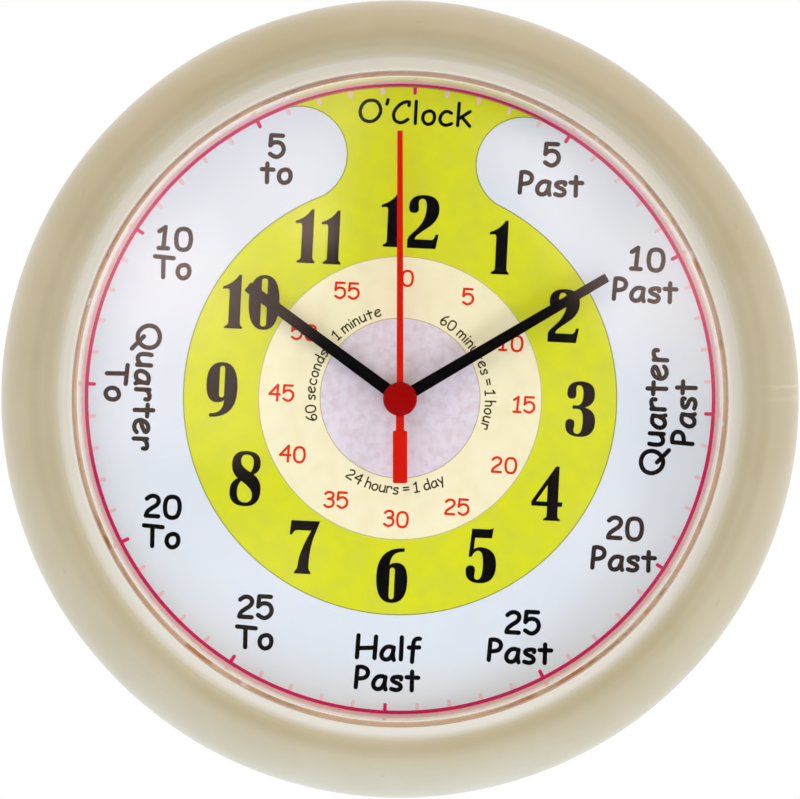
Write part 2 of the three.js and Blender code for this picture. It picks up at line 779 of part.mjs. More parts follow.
const coilMiddle = statorFront + statorThickness / 2;
const coilBottom = -statorBelowAxis + statorArmWidth + runningGap;
const coilTop = statorAboveAxis - statorArmWidth - runningGap;
const coilBox = (halfWidth, bottom, top, halfDepth) => block(coilAt - halfWidth, coilAt + halfWidth,
  bottom, top, coilMiddle - halfDepth, coilMiddle + halfDepth);
const coilCore = () => coilBox(coilCoreWidth / 2, -statorBelowAxis, statorAboveAxis, statorThickness / 2);
const coilHole = () => coilBox(coilCoreWidth / 2 + runningGap, -statorBelowAxis - cutOverrun,
  statorAboveAxis + cutOverrun, statorThickness / 2 + runningGap);
const bobbinHalfWidth = coilCoreWidth / 2 + runningGap + bobbinTubeWall;
const bobbinHalfDepth = statorThickness / 2 + runningGap + bobbinTubeWall;
const coilBobbin = () => cut(
  join(
    coilBox(coilSide / 2, coilBottom, coilBottom + coilFlange, coilSide / 2),
    coilBox(bobbinHalfWidth, coilBottom, coilTop, bobbinHalfDepth),
    coilBox(coilSide / 2, coilTop - coilFlange, coilTop, coilSide / 2),
  ),
  coilHole(),
);
const coilWinding = () => cut(
  coilBox(coilSide / 2 - windingInset, coilBottom + coilFlange + runningGap,
    coilTop - coilFlange - runningGap, coilSide / 2 - windingInset),
  coilBox(bobbinHalfWidth + runningGap, coilBottom, coilTop, bobbinHalfDepth + runningGap),
);

const magnetMiddle = (statorBack + statorFront) / 2;
const rotorMagnet = () => pipe(magnetRadius, arborRadius + runningGap,
  magnetMiddle - magnetThickness / 2, magnetMiddle + magnetThickness / 2, smallSides);
const trainArborBack = coverFront - coverThickness / 2 + runningGap;
const rotorPinion = () => join(
  pinion(rotorTeeth, rotorModule, rotorPhase, intermediateLevel),
  rod(arborRadius, trainArborBack, trainPlateFront, pinSides),
);

// Wheels of the going train
const intermediateWheel = () => join(
  wheel(intermediateTeeth, rotorModule, intermediatePhase, intermediateLevel),
  pinion(intermediatePinionTeeth, secondModule, intermediatePhase, secondLevel),
  rod(arborRadius, trainArborBack, trainPlateFront, pinSides),
);
const secondWheel = () => join(
  wheel(secondTeeth, secondModule, secondPhase, secondLevel),
  pinion(secondPinionTeeth, thirdModule, secondPhase, thirdLevel),
  rod(arborRadius, trainArborBack, pipeFront, pinSides),
);
const thirdWheel = () => join(
  wheel(thirdTeeth, thirdModule, thirdPhase, thirdLevel),
  pinion(thirdPinionTeeth, centreModule, thirdPhase, centreLevel),
  rod(arborRadius, trainArborBack,
    centreLevel + wheelThickness + pinionOverhang + pivotDepth + runningGap, pinSides),
);
const centreWheel = () => cut(
  join(
    wheel(centreTeeth, centreModule, centrePhase, centreLevel),
    rod(centreHubRadius, centreLevel - pinionOverhang / 2, centreLevel + wheelThickness + pinionOverhang),
  ),
  rod(minuteTubeRadius + runningGap, centreLevel - cutOverrun, centreLevel + wheelThickness + cutOverrun),
);

// Wheels of the motion work
const minuteShaft = () => cut(
  join(
    pinion(cannonTeeth, motionModule, cannonPhase, minuteLevel),
    rod(minuteTubeRadius, trainPlateBack, minuteNutFront),
  ),
  rod(pivotHole, trainPlateBack - cutOverrun, minuteNutFront + cutOverrun, pinSides),
);
const minuteWheel = () => cut(
  join(
    wheel(minuteTeeth, motionModule, minutePhase, minuteLevel),
    gear(minutePinionTeeth, hourModule, minutePhase, minuteLevel,
      hourLevel + wheelThickness + pinionOverhang),
  ),
  rod(minuteStudRadius + runningGap, minuteLevel - cutOverrun, hourLevel + wheelStep + cutOverrun, pinSides),
);
const hourWheel = () => cut(
  join(
    wheel(hourTeeth, hourModule, hourPhase, hourLevel),
    rod(hourTubeRadius, hourLevel, hourHandFront),
  ),
  rod(minuteTubeRadius + runningGap, hourLevel - cutOverrun, hourHandFront + cutOverrun),
);

function settingKnob() {
  const grip = [];
  for (let i = 0; i < 2 * knobGripCount; i += 1) {
    const radius = knobRadius - (i % 2) * knobGripDepth;
    grip.push(along(axis, i * fullTurn / (2 * knobGripCount), radius));
  }
  return join(
    prism(grip, wallClearance, wallClearance + knobHeadHeight),
    rod(knobShaftRadius, wallClearance, minuteLevel),
    pinion(knobTeeth, motionModule, knobPhase, minuteLevel),
    rod(knobPivotRadius, minuteLevel, frontInside - runningGap, pinSides),
  );
}

// Cell and contacts
function cell() {
  const half = cellLength / 2;
  const body = turned([
    [0, -half],
    [cellRadius - cellShoulder, -half],
    [cellRadius, -half + cellShoulder],
    [cellRadius, half - cellNubLength - cellShoulder],
    [cellRadius - cellShoulder, half - cellNubLength],
    [cellNubRadius, half - cellNubLength],
    [cellNubRadius, half],
    [0, half],
  ], largeSides);
  return body.rotate([0, 90, 0]).translate([0, cellAt, cellDepthAt]);
}

const contactBack = cellDepthAt - contactDepth / 2;
function contactPad(side) {
  const wall = side * halfInside;
  const leaf = side * (halfInside - contactThickness);
  const nose = side * (cellLength / 2 + runningGap);
  return join(
    block(Math.min(wall, leaf), Math.max(wall, leaf), cellAt - contactWidth / 2, boardBottom + contactTab,
      contactBack, contactBack + contactDepth),
    block(Math.min(wall, nose), Math.max(wall, nose), cellAt - contactWidth / 4, cellAt + contactWidth / 4,
      contactBack + contactThickness, contactBack + contactDepth - contactThickness),
  );
}
const positiveContact = () => join(
  contactPad(1),
  block(boardRight - contactTab, halfInside, boardBottom, boardBottom + contactTab,
    boardFront, boardFront + contactThickness),
);
const negativeContact = () => join(
  contactPad(-1),
  block(-halfInside, boardLeft + contactTab, bayWallTop, bayWallTop + contactThickness,
    boardFront, boardFront + contactTab),
  block(boardLeft, boardLeft + contactTab, bayWallTop, boardBottom + contactTab,
    boardFront, boardFront + contactThickness),
);

// Circuit board
const circuitBoard = () => cut(
  block(boardLeft, boardRight, boardBottom, boardTop, boardHeight, boardFront),
  ...boardScrewPlaces().map((at) => rod(boardScrewRadius + runningGap,
    boardHeight - cutOverrun, boardFront + cutOverrun, pinSides, at)),
);
const boardScrew = () => turned([
  [0, boardHeight - boardScrewHeadHeight],
  [boardScrewHeadRadius, boardHeight - boardScrewHeadHeight],
  [boardScrewHeadRadius, boardHeight],
  [boardScrewRadius, boardHeight],
  [boardScrewRadius, boardHeight + boardScrewLength],
  [0, boardHeight + boardScrewLength],
], pinSides);
const chipCover = () => turned([
  ...ellipsePoints(0, boardHeight, chipRadius, chipHeight, -Math.PI / 2, 0, chipSteps),
  [0, boardHeight],
], smallSides);
const crystalCan = () => rod(crystalRadius, 0, crystalLength, pinSides)
  .rotate([90, 0, 0])
  .translate([0, crystalLength / 2, boardHeight - crystalRadius]);

// Hands
function barHand(length, rootWidth, tipWidth, hub, bore, low, high) {
  const bar = prism([
    new THREE.Vector2(-rootWidth / 2, 0),
    new THREE.Vector2(rootWidth / 2, 0),
    new THREE.Vector2(tipWidth / 2, length - tipCorner),
    new THREE.Vector2(tipWidth / 2 - tipCorner, length),
    new THREE.Vector2(-tipWidth / 2 + tipCorner, length),
    new THREE.Vector2(-tipWidth / 2, length - tipCorner),
  ], low, high);
  return cut(
    join(bar, rod(hub, low, high, largeSides)),
    rod(bore, low - cutOverrun, high + cutOverrun),
  );
}

const hourHand = () => barHand(hourHandLength, hourHandRootWidth, hourHandTipWidth, hourHubRadius,
  hourTubeRadius + runningGap, hourHandBack, hourHandFront);
const hourCollet = () => pipe(hourTubeRadius + runningGap + colletWidth, hourTubeRadius + runningGap,
  hourHandBack - colletHeight, hourHandBack);
const minuteHand = () => barHand(minuteHandLength, minuteHandRootWidth, minuteHandTipWidth, minuteHubRadius,
  minuteTubeRadius + runningGap, minuteHandBack, minuteHandFront);
const minuteNut = () => pipe(minuteNutRadius, minuteTubeRadius + runningGap, minuteHandFront, minuteNutFront);
const secondHand = () => cut(
  join(
    barHand(secondHandLength, secondHandRootWidth, secondHandTipWidth, secondHubRadius,
      pipeRadius + runningGap, secondHandBack, secondHandFront),
    block(-secondTailNeckWidth / 2, secondTailNeckWidth / 2, -secondTailNeckLength - cutOverrun,
      -secondHubRadius / 2, secondHandBack, secondHandFront),
    block(-secondWeightWidth / 2, secondWeightWidth / 2, -secondWeightEnd, -secondTailNeckLength,
      secondHandBack, secondHandFront),
  ),
  rod(pipeRadius + runningGap, secondHandBack - cutOverrun, secondHandFront + cutOverrun),
);
const secondPipe = () => cut(
  join(
    rod(pipeFlangeRadius, pipeBack, secondHandBack),
    rod(pipeRadius, pipeBack, pipeFront),
  ),
  rod(pivotHole, pipeBack - cutOverrun, pipeFront + cutOverrun, pinSides),
);
const secondCap = () => cut(
  turned([
    [0, secondHandFront],
    [capRadius, secondHandFront],
    ...ellipsePoints(0, secondHandFront + capEdgeHeight, capRadius, capHeight - capEdgeHeight,
      0, Math.PI / 2, capSteps),
  ], largeSides),
  rod(pipeRadius + runningGap, secondHandFront - cutOverrun, pipeFront + runningGap),
);

// Assembly
const assembly = (...members) => {
  const group = new THREE.Group();
  group.add(...members);
  return group;
};
const placed = (member, at) => {
  member.position.set(at.x, at.y, 0);
  return member;
};
const turnedTo = (member, clockwise) => {
  member.rotation.z = -clockwise;
  return member;
};

const caseGroup = assembly(
  piece('case_rim', caseRing(), caseFinish),
  piece('lens_seal', lensSeal(), sealFinish),
  piece('lens', lensDisc(), lensFinish),
  piece('dial_print', dialPrint(), paperFinish),
  piece('dial_plate', dialPlate(), plateFinish),
  piece('hanger_bracket', hangerBracket(), steelFinish),
  piece('rubber_gasket', rubberGasket(), rubberFinish),
  piece('brass_washer', brassWasher(), brassFinish),
  piece('hex_nut', hexNut(), brassFinish),
);
bossPlaces().forEach((at, index) => {
  caseGroup.add(placed(piece(`plate_screw_${index + 1}`, plateScrew(), steelFinish), at));
});

const movementGroup = assembly(
  piece('movement_housing', movementHousing(), blackPlastic),
  piece('movement_cover', movementCover(), blackPlastic),
  piece('train_plate', trainPlate(), greyPlastic),
  piece('stator', stator(), steelFinish),
  piece('coil_core', coilCore(), steelFinish),
  piece('coil_bobbin', coilBobbin(), amberPlastic),
  piece('coil_winding', coilWinding(), copperFinish),
  piece('battery_cell', cell(), cellFinish),
  piece('positive_contact', positiveContact(), steelFinish),
  piece('negative_contact', negativeContact(), steelFinish),
  piece('circuit_board', circuitBoard(), boardFinish),
  placed(piece('chip_cover', chipCover(), blackPlastic), { x: boardMiddle, y: knobAt.y }),
  placed(piece('crystal_can', crystalCan(), steelFinish), { x: boardMiddle, y: knobAt.y + crystalShift }),
);
boardScrewPlaces().forEach((at, index) => {
  movementGroup.add(placed(piece(`board_screw_${index + 1}`, boardScrew(), steelFinish), at));
});

const trainGroup = assembly(
  placed(piece('rotor_magnet', rotorMagnet(), magnetFinish), rotorAt),
  placed(piece('rotor_pinion', rotorPinion(), whitePlastic), rotorAt),
  placed(piece('intermediate_wheel', intermediateWheel(), whitePlastic), intermediateAt),
  piece('second_wheel', secondWheel(), whitePlastic),
  placed(piece('third_wheel', thirdWheel(), whitePlastic), thirdAt),
  piece('centre_wheel', centreWheel(), whitePlastic),
  piece('minute_shaft', minuteShaft(), brassFinish),
  placed(piece('minute_wheel', minuteWheel(), whitePlastic), minuteWheelAt),
  piece('hour_wheel', hourWheel(), whitePlastic),
  placed(piece('setting_knob', settingKnob(), greyPlastic), knobAt),
);

const handsGroup = assembly(
  turnedTo(piece('hour_hand', hourHand(), blackPaint), hourHandAngle),
  piece('hour_hand_collet', hourCollet(), brassFinish),
  turnedTo(piece('minute_hand', minuteHand(), blackPaint), minuteHandAngle),
  piece('minute_nut', minuteNut(), brassFinish),
  turnedTo(piece('second_hand', secondHand(), redPaint), secondHandAngle),
  piece('second_hand_pipe', secondPipe(), brassFinish),
  piece('second_hand_cap', secondCap(), redPaint),
);

const clock = assembly(caseGroup, movementGroup, trainGroup, handsGroup);
clock.rotation.x = Math.PI / 2;
clock.position.y = caseDepth / 2;

export default clock;
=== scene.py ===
"""Teaching clock for a classroom wall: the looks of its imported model, in metres and in the model's frame."""
import logging
import math
from dataclasses import dataclass, field
from enum import Enum
from typing import Any, Optional, Sequence, Union

import bmesh
import bpy
from mathutils import Matrix, Vector
from mathutils.geometry import tessellate_polygon


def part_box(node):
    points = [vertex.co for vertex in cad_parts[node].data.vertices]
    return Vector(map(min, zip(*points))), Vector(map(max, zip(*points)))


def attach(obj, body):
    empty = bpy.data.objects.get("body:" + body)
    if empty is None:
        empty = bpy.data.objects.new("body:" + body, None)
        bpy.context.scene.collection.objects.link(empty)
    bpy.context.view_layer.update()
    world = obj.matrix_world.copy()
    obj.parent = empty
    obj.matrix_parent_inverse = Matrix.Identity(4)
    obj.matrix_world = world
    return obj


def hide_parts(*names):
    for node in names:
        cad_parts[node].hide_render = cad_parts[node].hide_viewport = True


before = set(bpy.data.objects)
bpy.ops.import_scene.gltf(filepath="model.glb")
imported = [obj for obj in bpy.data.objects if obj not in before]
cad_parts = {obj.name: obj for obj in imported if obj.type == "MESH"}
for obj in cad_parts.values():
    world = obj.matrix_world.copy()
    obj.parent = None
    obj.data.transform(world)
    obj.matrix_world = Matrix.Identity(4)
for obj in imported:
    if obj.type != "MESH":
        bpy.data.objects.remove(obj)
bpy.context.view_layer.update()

logging.basicConfig(level=logging.INFO, format="%(name)s: %(message)s")
log = logging.getLogger("teaching_clock")

MM = 0.001
TAU = 2 * math.pi
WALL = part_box("case_rim")[1].y
# Pixels of the photograph to a millimetre of the dial
PRINT_SCALE = 2.695
# More places than any ring has, so that none is left out
SKIP_NONE = 1000

Point = tuple[float, float]
Stroke = tuple[bool, list[Point]]
Colour = tuple[int, int, int]
Value = Union[float, int, "Signal"]
Patch = tuple[float, float, float, float]


def spot(right: float, up: float, depth: float) -> Vector:
    """Turns millimetres of the front view and of depth from the wall into a place in the model.

    Args:
        right: distance to the right of the hands' axis.
        up: distance above the hands' axis.
        depth: distance from the wall.

    Returns:
        The place in metres.
    """
    return Vector((right * MM, WALL - depth * MM, up * MM))


def tone(colour: Colour) -> tuple[float, float, float, float]:
    """Turns a screen colour into the linear colour that a shader takes.

    Args:
        colour: red, green and blue from 0 to 255.

    Returns:
        Linear red, green and blue, and full alpha.
    """
    parts = []
    for part in colour:
        share = part / 255
        parts.append(share / 12.92 if share <= 0.04045 else ((share + 0.055) / 1.055) ** 2.4)
    return parts[0], parts[1], parts[2], 1.0


def turned(point: Point, clockwise: float) -> Point:
    """Turns a point of the front view about the hands' axis.

    Args:
        point: the point.
        clockwise: the turn in radians.

    Returns:
        The turned point.
    """
    right, up = point
    return (right * math.cos(clockwise) + up * math.sin(clockwise),
            up * math.cos(clockwise) - right * math.sin(clockwise))


def arc(radius: float, first: float, last: float, steps: int, centre: Point = (0.0, 0.0)) -> list[Point]:
    """Samples an arc of the front view.

    Args:
        radius: its radius.
        first: angle of its first point in radians, clockwise from the top.
        last: angle of its last point.
        steps: number of steps between them.
        centre: its centre.

    Returns:
        The points, one more than the steps.
    """
    angles = [first + (last - first) * i / steps for i in range(steps + 1)]
    return [(centre[0] + radius * math.sin(a), centre[1] + radius * math.cos(a)) for a in angles]


def circle(radius: float, count: int, centre: Point = (0.0, 0.0)) -> list[Point]:
    """Gives a number of points round a circle of the front view."""
    return arc(radius, 0.0, TAU, count, centre)[:-1]


def ellipse(radius: float, depth: float, wide: float, tall: float, first: float, last: float,
            steps: int) -> list[Point]:
    """Samples a stretch of an ellipse in a turned profile.

    Args:
        radius: radius of the ellipse's middle.
        depth: depth of the ellipse's middle.
        wide: half of its width.
        tall: half of its height.
        first: angle of the first point in degrees, from outwards towards the front.
        last: angle of the last point.
        steps: number of steps between them.

    Returns:
        Pairs of radius and depth.
    """
    points = []
    for i in range(steps + 1):
        angle = math.radians(first + (last - first) * i / steps)
        points.append((radius + wide * math.cos(angle), depth + tall * math.sin(angle)))
    return points


class Signal:
    """A value on its way through a shader tree, on which arithmetic adds Math nodes."""

    def __init__(self, paint: "Shading", socket: bpy.types.NodeSocket) -> None:
        """Keeps the tree and the socket that the value comes from."""
        self.paint = paint
        self.socket = socket

    def math(self, operation: str, *others: Value, first: Optional[Value] = None) -> "Signal":
        """Adds one Math node.

        Args:
            operation: the node's operation.
            others: the values after this one.
            first: a value that takes this one's place, which then comes second.

        Returns:
            The node's result.
        """
        values = [self, *others] if first is None else [first, self, *others]
        node = self.paint.add("ShaderNodeMath", {"operation": operation}, dict(enumerate(values)))
        return Signal(self.paint, node.outputs[0])

    def __add__(self, other: Value) -> "Signal":
        """Adds."""
        return self.math("ADD", other)

    def __sub__(self, other: Value) -> "Signal":
        """Subtracts."""
        return self.math("SUBTRACT", other)

    def __rsub__(self, other: Value) -> "Signal":
        """Subtracts from a plain number."""
        return self.math("SUBTRACT", first=other)

    def __mul__(self, other: Value) -> "Signal":
        """Multiplies."""
        return self.math("MULTIPLY", other)

    def __truediv__(self, other: Value) -> "Signal":
        """Divides."""
        return self.math("DIVIDE", other)

    def __pow__(self, other: Value) -> "Signal":
        """Raises to a power; the second power is a product, so that it takes values below zero."""
        return self * self if other == 2 else self.math("POWER", other)

    def above(self, low: float, high: float) -> "Signal":
        """Rises smoothly between two values.

        Args:
            low: the value up to which the result is 0.
            high: the value from which it is 1.

        Returns:
            The result.
        """
        node = self.paint.add("ShaderNodeMapRange", {"interpolation_type": "SMOOTHSTEP"},
                              {"Value": self, "From Min": low, "From Max": high})
        return Signal(self.paint, node.outputs["Result"])

    def near(self, middle: float, reach: float) -> "Signal":
        """Is 1 at the middle value and falls smoothly to 0 at its reach."""
        return 1 - self.math("SUBTRACT", middle).math("ABSOLUTE").above(0.0, reach)


class NodeTree:
    """A node tree to which nodes are added."""

    def __init__(self, tree: bpy.types.NodeTree) -> None:
        """Starts with the given tree, emptied."""
        self.tree = tree
        self.tree.nodes.clear()

    def add(self, kind: str, settings: Optional[dict[str, Any]] = None,
            values: Optional[dict[Union[str, int], Any]] = None) -> bpy.types.Node:
        """Adds a node.

        Args:
            kind: the node's type.
            settings: the node's own settings, set first.
            values: numbers, sockets or signals for its inputs, by name or place; a list holds several.

        Returns:
            The node.
        """
        node = self.tree.nodes.new(kind)
        for key, setting in (settings or {}).items():
            setattr(node, key, setting)
        for key, value in (values or {}).items():
            for item in value if isinstance(value, list) else [value]:
                item = item.socket if isinstance(item, Signal) else item
                if isinstance(item, bpy.types.NodeSocket):
                    self.tree.links.new(item, node.inputs[key])
                else:
                    node.inputs[key].default_value = item
        return node


class Shading(NodeTree):
    """A shader tree."""

    def place(self, turn: float = 0.0, scale: Sequence[float] = (1.0, 1.0, 1.0)) -> Signal:
        """Gives the piece's own coordinates, turned about the clock's axis and stretched.

        Args:
            turn: the turn in radians.
            scale: the stretch along each axis.

        Returns:
            The coordinates.
        """
        source = self.add("ShaderNodeTexCoord").outputs["Object"]
        node = self.add("ShaderNodeMapping", values={"Vector": source, "Rotation": (0.0, turn, 0.0),
                                                     "Scale": tuple(scale)})
        return Signal(self, node.outputs[0])

    def axes(self, place: Optional[Signal] = None) -> tuple[Signal, Signal, Signal]:
        """Splits a place into its three numbers."""
        node = self.add("ShaderNodeSeparateXYZ", values={0: place or self.place()})
        return Signal(self, node.outputs[0]), Signal(self, node.outputs[1]), Signal(self, node.outputs[2])

    def radius(self) -> Signal:
        """Gives the distance from the hands' axis."""
        right, _, up = self.axes()
        return (right * right + up * up).math("SQRT")

    def noise(self, size: float, detail: float = 2.0, scale: Sequence[float] = (1.0, 1.0, 1.0),
              turn: float = 0.0) -> Signal:
        """Gives cloudy noise.

        Args:
            size: width of a cloud in millimetres.
            detail: how many finer layers it has.
            scale: stretch of the coordinates along each axis.
            turn: turn of the coordinates about the clock's axis.

        Returns:
            A value from 0 to 1.
        """
        node = self.add("ShaderNodeTexNoise", values={"Vector": self.place(turn, scale),
                                                      "Scale": 1 / (size * MM), "Detail": detail})
        return Signal(self, node.outputs[0])

    def mix(self, factor: Value, first: Any, second: Any) -> Signal:
        """Blends two colours by a factor."""
        node = self.add("ShaderNodeMix", {"data_type": "RGBA"}, {0: factor, 6: first, 7: second})
        return Signal(self, node.outputs[2])


class Paint(Shading):
    """A material with one main shader."""

    def __init__(self, name: str) -> None:
        """Starts a material with a Principled shader on its output.

        Args:
            name: the material's name.
        """
        self.material = bpy.data.materials.new(name)
        self.material.use_nodes = True
        super().__init__(self.material.node_tree)
        self.surface = self.add("ShaderNodeBsdfPrincipled")
        self.output = self.add("ShaderNodeOutputMaterial", values={"Surface": self.surface.outputs[0]})

    def feed(self, **inputs: Any) -> None:
        """Sets or links inputs of the main shader.

        Args:
            inputs: numbers, colours or signals by the input's name, with an underscore for a space.
        """
        for key, value in inputs.items():
            socket = self.surface.inputs[key.replace("_", " ")]
            if isinstance(value, Signal):
                self.tree.links.new(value.socket, socket)
            else:
                socket.default_value = value

    def bump(self, height: Signal, depth: float) -> bpy.types.NodeSocket:
        """Gives the normal of a fine relief whose full height is a depth in millimetres."""
        return self.add("ShaderNodeBump", values={"Height": height, "Distance": depth * MM}).outputs[0]

    def relief(self, height: Signal, depth: float) -> None:
        """Gives the main shader such a relief."""
        self.tree.links.new(self.bump(height, depth), self.surface.inputs["Normal"])

    def blend(self, factor: Signal, second: bpy.types.NodeSocket,
              first: Optional[bpy.types.NodeSocket] = None) -> None:
        """Puts a blend of two shaders on the output.

        Args:
            factor: the second shader's share.
            second: the second shader.
            first: the first shader, if it isn't the main one.
        """
        both = self.add("ShaderNodeMixShader", values={0: factor, 1: first or self.surface.outputs[0],
                                                       2: second})
        self.tree.links.new(both.outputs[0], self.output.inputs["Surface"])


class Grain(Enum):
    """The kinds of fine relief that a finish can have."""

    MOULDED = "moulded"
    PRINTED = "printed"
    BRUSHED = "brushed"
    SPUN = "spun"
    RUBBER = "rubber"
    BOARD = "board"


@dataclass(frozen=True)
class Finish:
    """A finish: its colour, the blotches in it, its gloss and its fine relief."""

    name: str
    slot: str
    colour: Colour
    second: Optional[Colour] = None
    blotch: float = 8.0
    spread: float = 0.35
    roughness: float = 0.45
    scuff: float = 0.1
    metallic: float = 0.0
    coat: float = 0.0
    grain: Grain = Grain.MOULDED
    size: float = 0.5
    depth: float = 0.004
    sheen: float = 0.5

    def height(self, paint: Paint) -> Signal:
        """Gives the height of the fine relief for the kind of grain.

        Args:
            paint: the material that it goes into.

        Returns:
            The height, as a share of the depth.
        """
        if self.grain is Grain.PRINTED:
            fibres = paint.noise(self.size, 4.0, (1.0, 1.0, 2.4), 0.4)
            return fibres * 0.6 + paint.noise(self.size * 0.3) * 0.4
        if self.grain is Grain.BRUSHED:
            return paint.noise(self.size, 3.0, (0.04, 0.4, 1.0))
        if self.grain is Grain.SPUN:
            grooves = (paint.radius() * (TAU / (self.size * MM))).math("SINE")
            return grooves * 0.5 + paint.noise(self.size * 3) * 0.5
        if self.grain is Grain.RUBBER:
            return paint.noise(self.size, 6.0) * 0.7 + paint.noise(self.size * 5, 1.0) * 0.3
        if self.grain is Grain.BOARD:
            right, _, up = paint.axes()
            warp = (right * (TAU / (self.size * MM))).math("SINE")
            weft = (up * (TAU / (self.size * MM))).math("SINE")
            return warp * weft * 0.5 + 0.5
        return paint.noise(self.size * 4, 1.0) * 0.6 + paint.noise(self.size, 2.0) * 0.4

    def material(self) -> bpy.types.Material:
        """Builds the material, or gives the one that is built already.

        Returns:
            The Blender material.
        """
        known = bpy.data.materials.get(self.name)
        if known:
            return known
        paint = Paint(self.name)
        base = tone(self.colour)
        darker = tuple(int(part * 0.86) for part in self.colour)
        other = tone(self.second or darker)
        cloud = paint.noise(self.blotch, 3.0).above(0.32, 0.72) * self.spread
        cloud = cloud + paint.noise(self.blotch * 0.17, 2.0).above(0.4, 0.8) * (self.spread * 0.3)
        worn = paint.noise(self.blotch * 0.6, 4.0, turn=0.7).above(0.35, 0.75)
        paint.feed(Base_Color=paint.mix(cloud, base, other), Metallic=self.metallic, Coat_Weight=self.coat,
                   Roughness=worn * self.scuff + (self.roughness - self.scuff / 2))
        if self.sheen < 0.5:
            paint.feed(Specular_IOR_Level=self.sheen)
        paint.relief(self.height(paint), self.depth)
        return paint.material


@dataclass(frozen=True)
class CaseFinish(Finish):
    """The rim's plastic: a soft orange peel, cloudy tone and a faint flow line where the melt met.

    It also carries painted light: the shelf by the lens is paler as a painted highlight, and the well's wall
    is near white as painted light and a painted reflection of the dial in that shaded recess. The pairs of
    radii, in metres, are those between which the shelf's painted highlight, the well wall's painted light and
    its polish end.
    """

    flow_turn: float = 94.6
    # pale is the flow line's tone and also the colour of the shelf's painted highlight
    pale: Colour = (226, 220, 206)
    # wall is painted light: a near white that stands in for the dial's reflection and lifts the shade in the
    # well
    wall: Colour = (250, 240, 228)
    shelf_highlight_share: float = 0.74
    line_share: float = 0.32
    shelf_highlight_end: Point = (0.1222, 0.1264)
    wall_light_end: Point = (0.1178, 0.1186)
    polish_end: Point = (0.1176, 0.1182)
    coat_roughness: float = 0.16

    def material(self) -> bpy.types.Material:
        """Builds the rim's material.

        Returns:
            The Blender material.
        """
        paint = Paint(self.name)
        right, _, up = paint.axes(paint.place(math.radians(self.flow_turn - 90)))
        radius = paint.radius()
        cloud = paint.noise(34.0, 3.0).above(0.3, 0.75) * 0.6 + paint.noise(5.0, 2.0).above(0.4, 0.8) * 0.15
        ripple = up + (paint.noise(9.0, 1.0) - 0.5) * 0.004
        line = ripple.near(0.0, 0.0011) * 0.6 + ripple.near(-0.0045, 0.0016) * 0.3
        shade = paint.mix(cloud, tone(self.colour), tone(self.second or self.colour))
        # Painted highlight: the shelf and lip by the lens are blended towards the pale tone
        shade = paint.mix((1 - radius.above(*self.shelf_highlight_end)) * self.shelf_highlight_share, shade, tone(self.pale))
        shade = paint.mix(line * right.above(0.129, 0.14) * self.line_share, shade, tone(self.pale))
        # Painted light: the well's wall is blended to near white for the dial's painted reflection and against
        # the recess's shade
        shade = paint.mix(1 - radius.above(*self.wall_light_end), shade, tone(self.wall))
        worn = paint.noise(11.0, 5.0, turn=0.9).above(0.35, 0.75)
        polished = 1 - radius.above(*self.polish_end)
        gloss = (worn * 0.08 + self.roughness) * (1 - polished * 0.8)
        paint.feed(Base_Color=shade, Roughness=gloss, Coat_Weight=self.coat,
                   Coat_Roughness=self.coat_roughness)
        peel = paint.noise(3.6, 1.0) * 0.7 + paint.noise(0.6, 1.0) * 0.03
        paint.relief(peel * (1 - polished * 0.95), self.depth)
        return paint.material


@dataclass(frozen=True)
class BondFinish(Finish):
    """The bead of glue under the lens: amber, thicker in places, with painted glints as pale spots, and a
    mauve collar.
    """

    patch: Colour = (186, 112, 52)
    # gap is the colour of painted glints: pale spots for the lens edge mirroring a window along the glue
    gap: Colour = (236, 230, 222)
    collar: Colour = (214, 178, 168)
    collar_start: Point = (0.1192, 0.1195)

    def material(self) -> bpy.types.Material:
        """Builds the glue's material.

        Returns:
            The Blender material.
        """
        paint = Paint(self.name)
        thick = paint.noise(60.0, 2.0).above(0.42, 0.66)
        patches = paint.noise(14.0, 3.0, turn=0.5).above(0.6, 0.7)
        # Painted reflection: pale spots where the lens edge mirrors light
        gaps = paint.noise(9.0, 4.0, turn=1.9).above(0.66, 0.72)
        shade = paint.mix(thick, tone(self.colour), tone(self.second or self.colour))
        shade = paint.mix(patches * 0.8, shade, tone(self.patch))
        shade = paint.mix(gaps * 0.8, shade, tone(self.gap))
        shade = paint.mix(paint.radius().above(*self.collar_start), shade, tone(self.collar))
        paint.feed(Base_Color=shade, Roughness=paint.noise(2.0).above(0.3, 0.7) * 0.3 + self.roughness)
        paint.relief(paint.noise(1.6, 3.0), self.depth)
        return paint.material


@dataclass(frozen=True)
class LensFinish(Finish):
    """Clear moulded plastic: light goes straight through, and the face that it enters mirrors for both.

    Its second colour is the tint of what goes through, and its edge, from a radius in metres, mirrors more.
    """

    bend: float = 1.38
    edge_start: Point = (0.1188, 0.1194)
    edge_share: float = 0.05
    smear_share: float = 0.005

    def material(self) -> bpy.types.Material:
        """Builds the lens's material.

        Returns:
            The Blender material.
        """
        paint = Paint(self.name)
        paint.tree.nodes.remove(paint.surface)
        smear = paint.noise(26.0, 4.0).above(0.4, 0.8) * self.smear_share
        gloss = paint.add("ShaderNodeBsdfGlossy", values={
            "Color": tone(self.colour), "Roughness": self.roughness,
            "Normal": paint.bump(paint.noise(30.0, 1.0), self.depth)})
        clear = paint.add("ShaderNodeBsdfTransparent", values={"Color": tone(self.second or self.colour)})
        mirror = Signal(paint, paint.add("ShaderNodeFresnel", values={"IOR": self.bend}).outputs[0])
        entering = 1 - Signal(paint, paint.add("ShaderNodeNewGeometry").outputs["Backfacing"])
        edge = paint.radius().above(*self.edge_start) * self.edge_share
        share = (mirror * 2 / (mirror + 1) + smear + edge) * entering
        paint.blend(share, gloss.outputs[0], clear.outputs[0])
        return paint.material


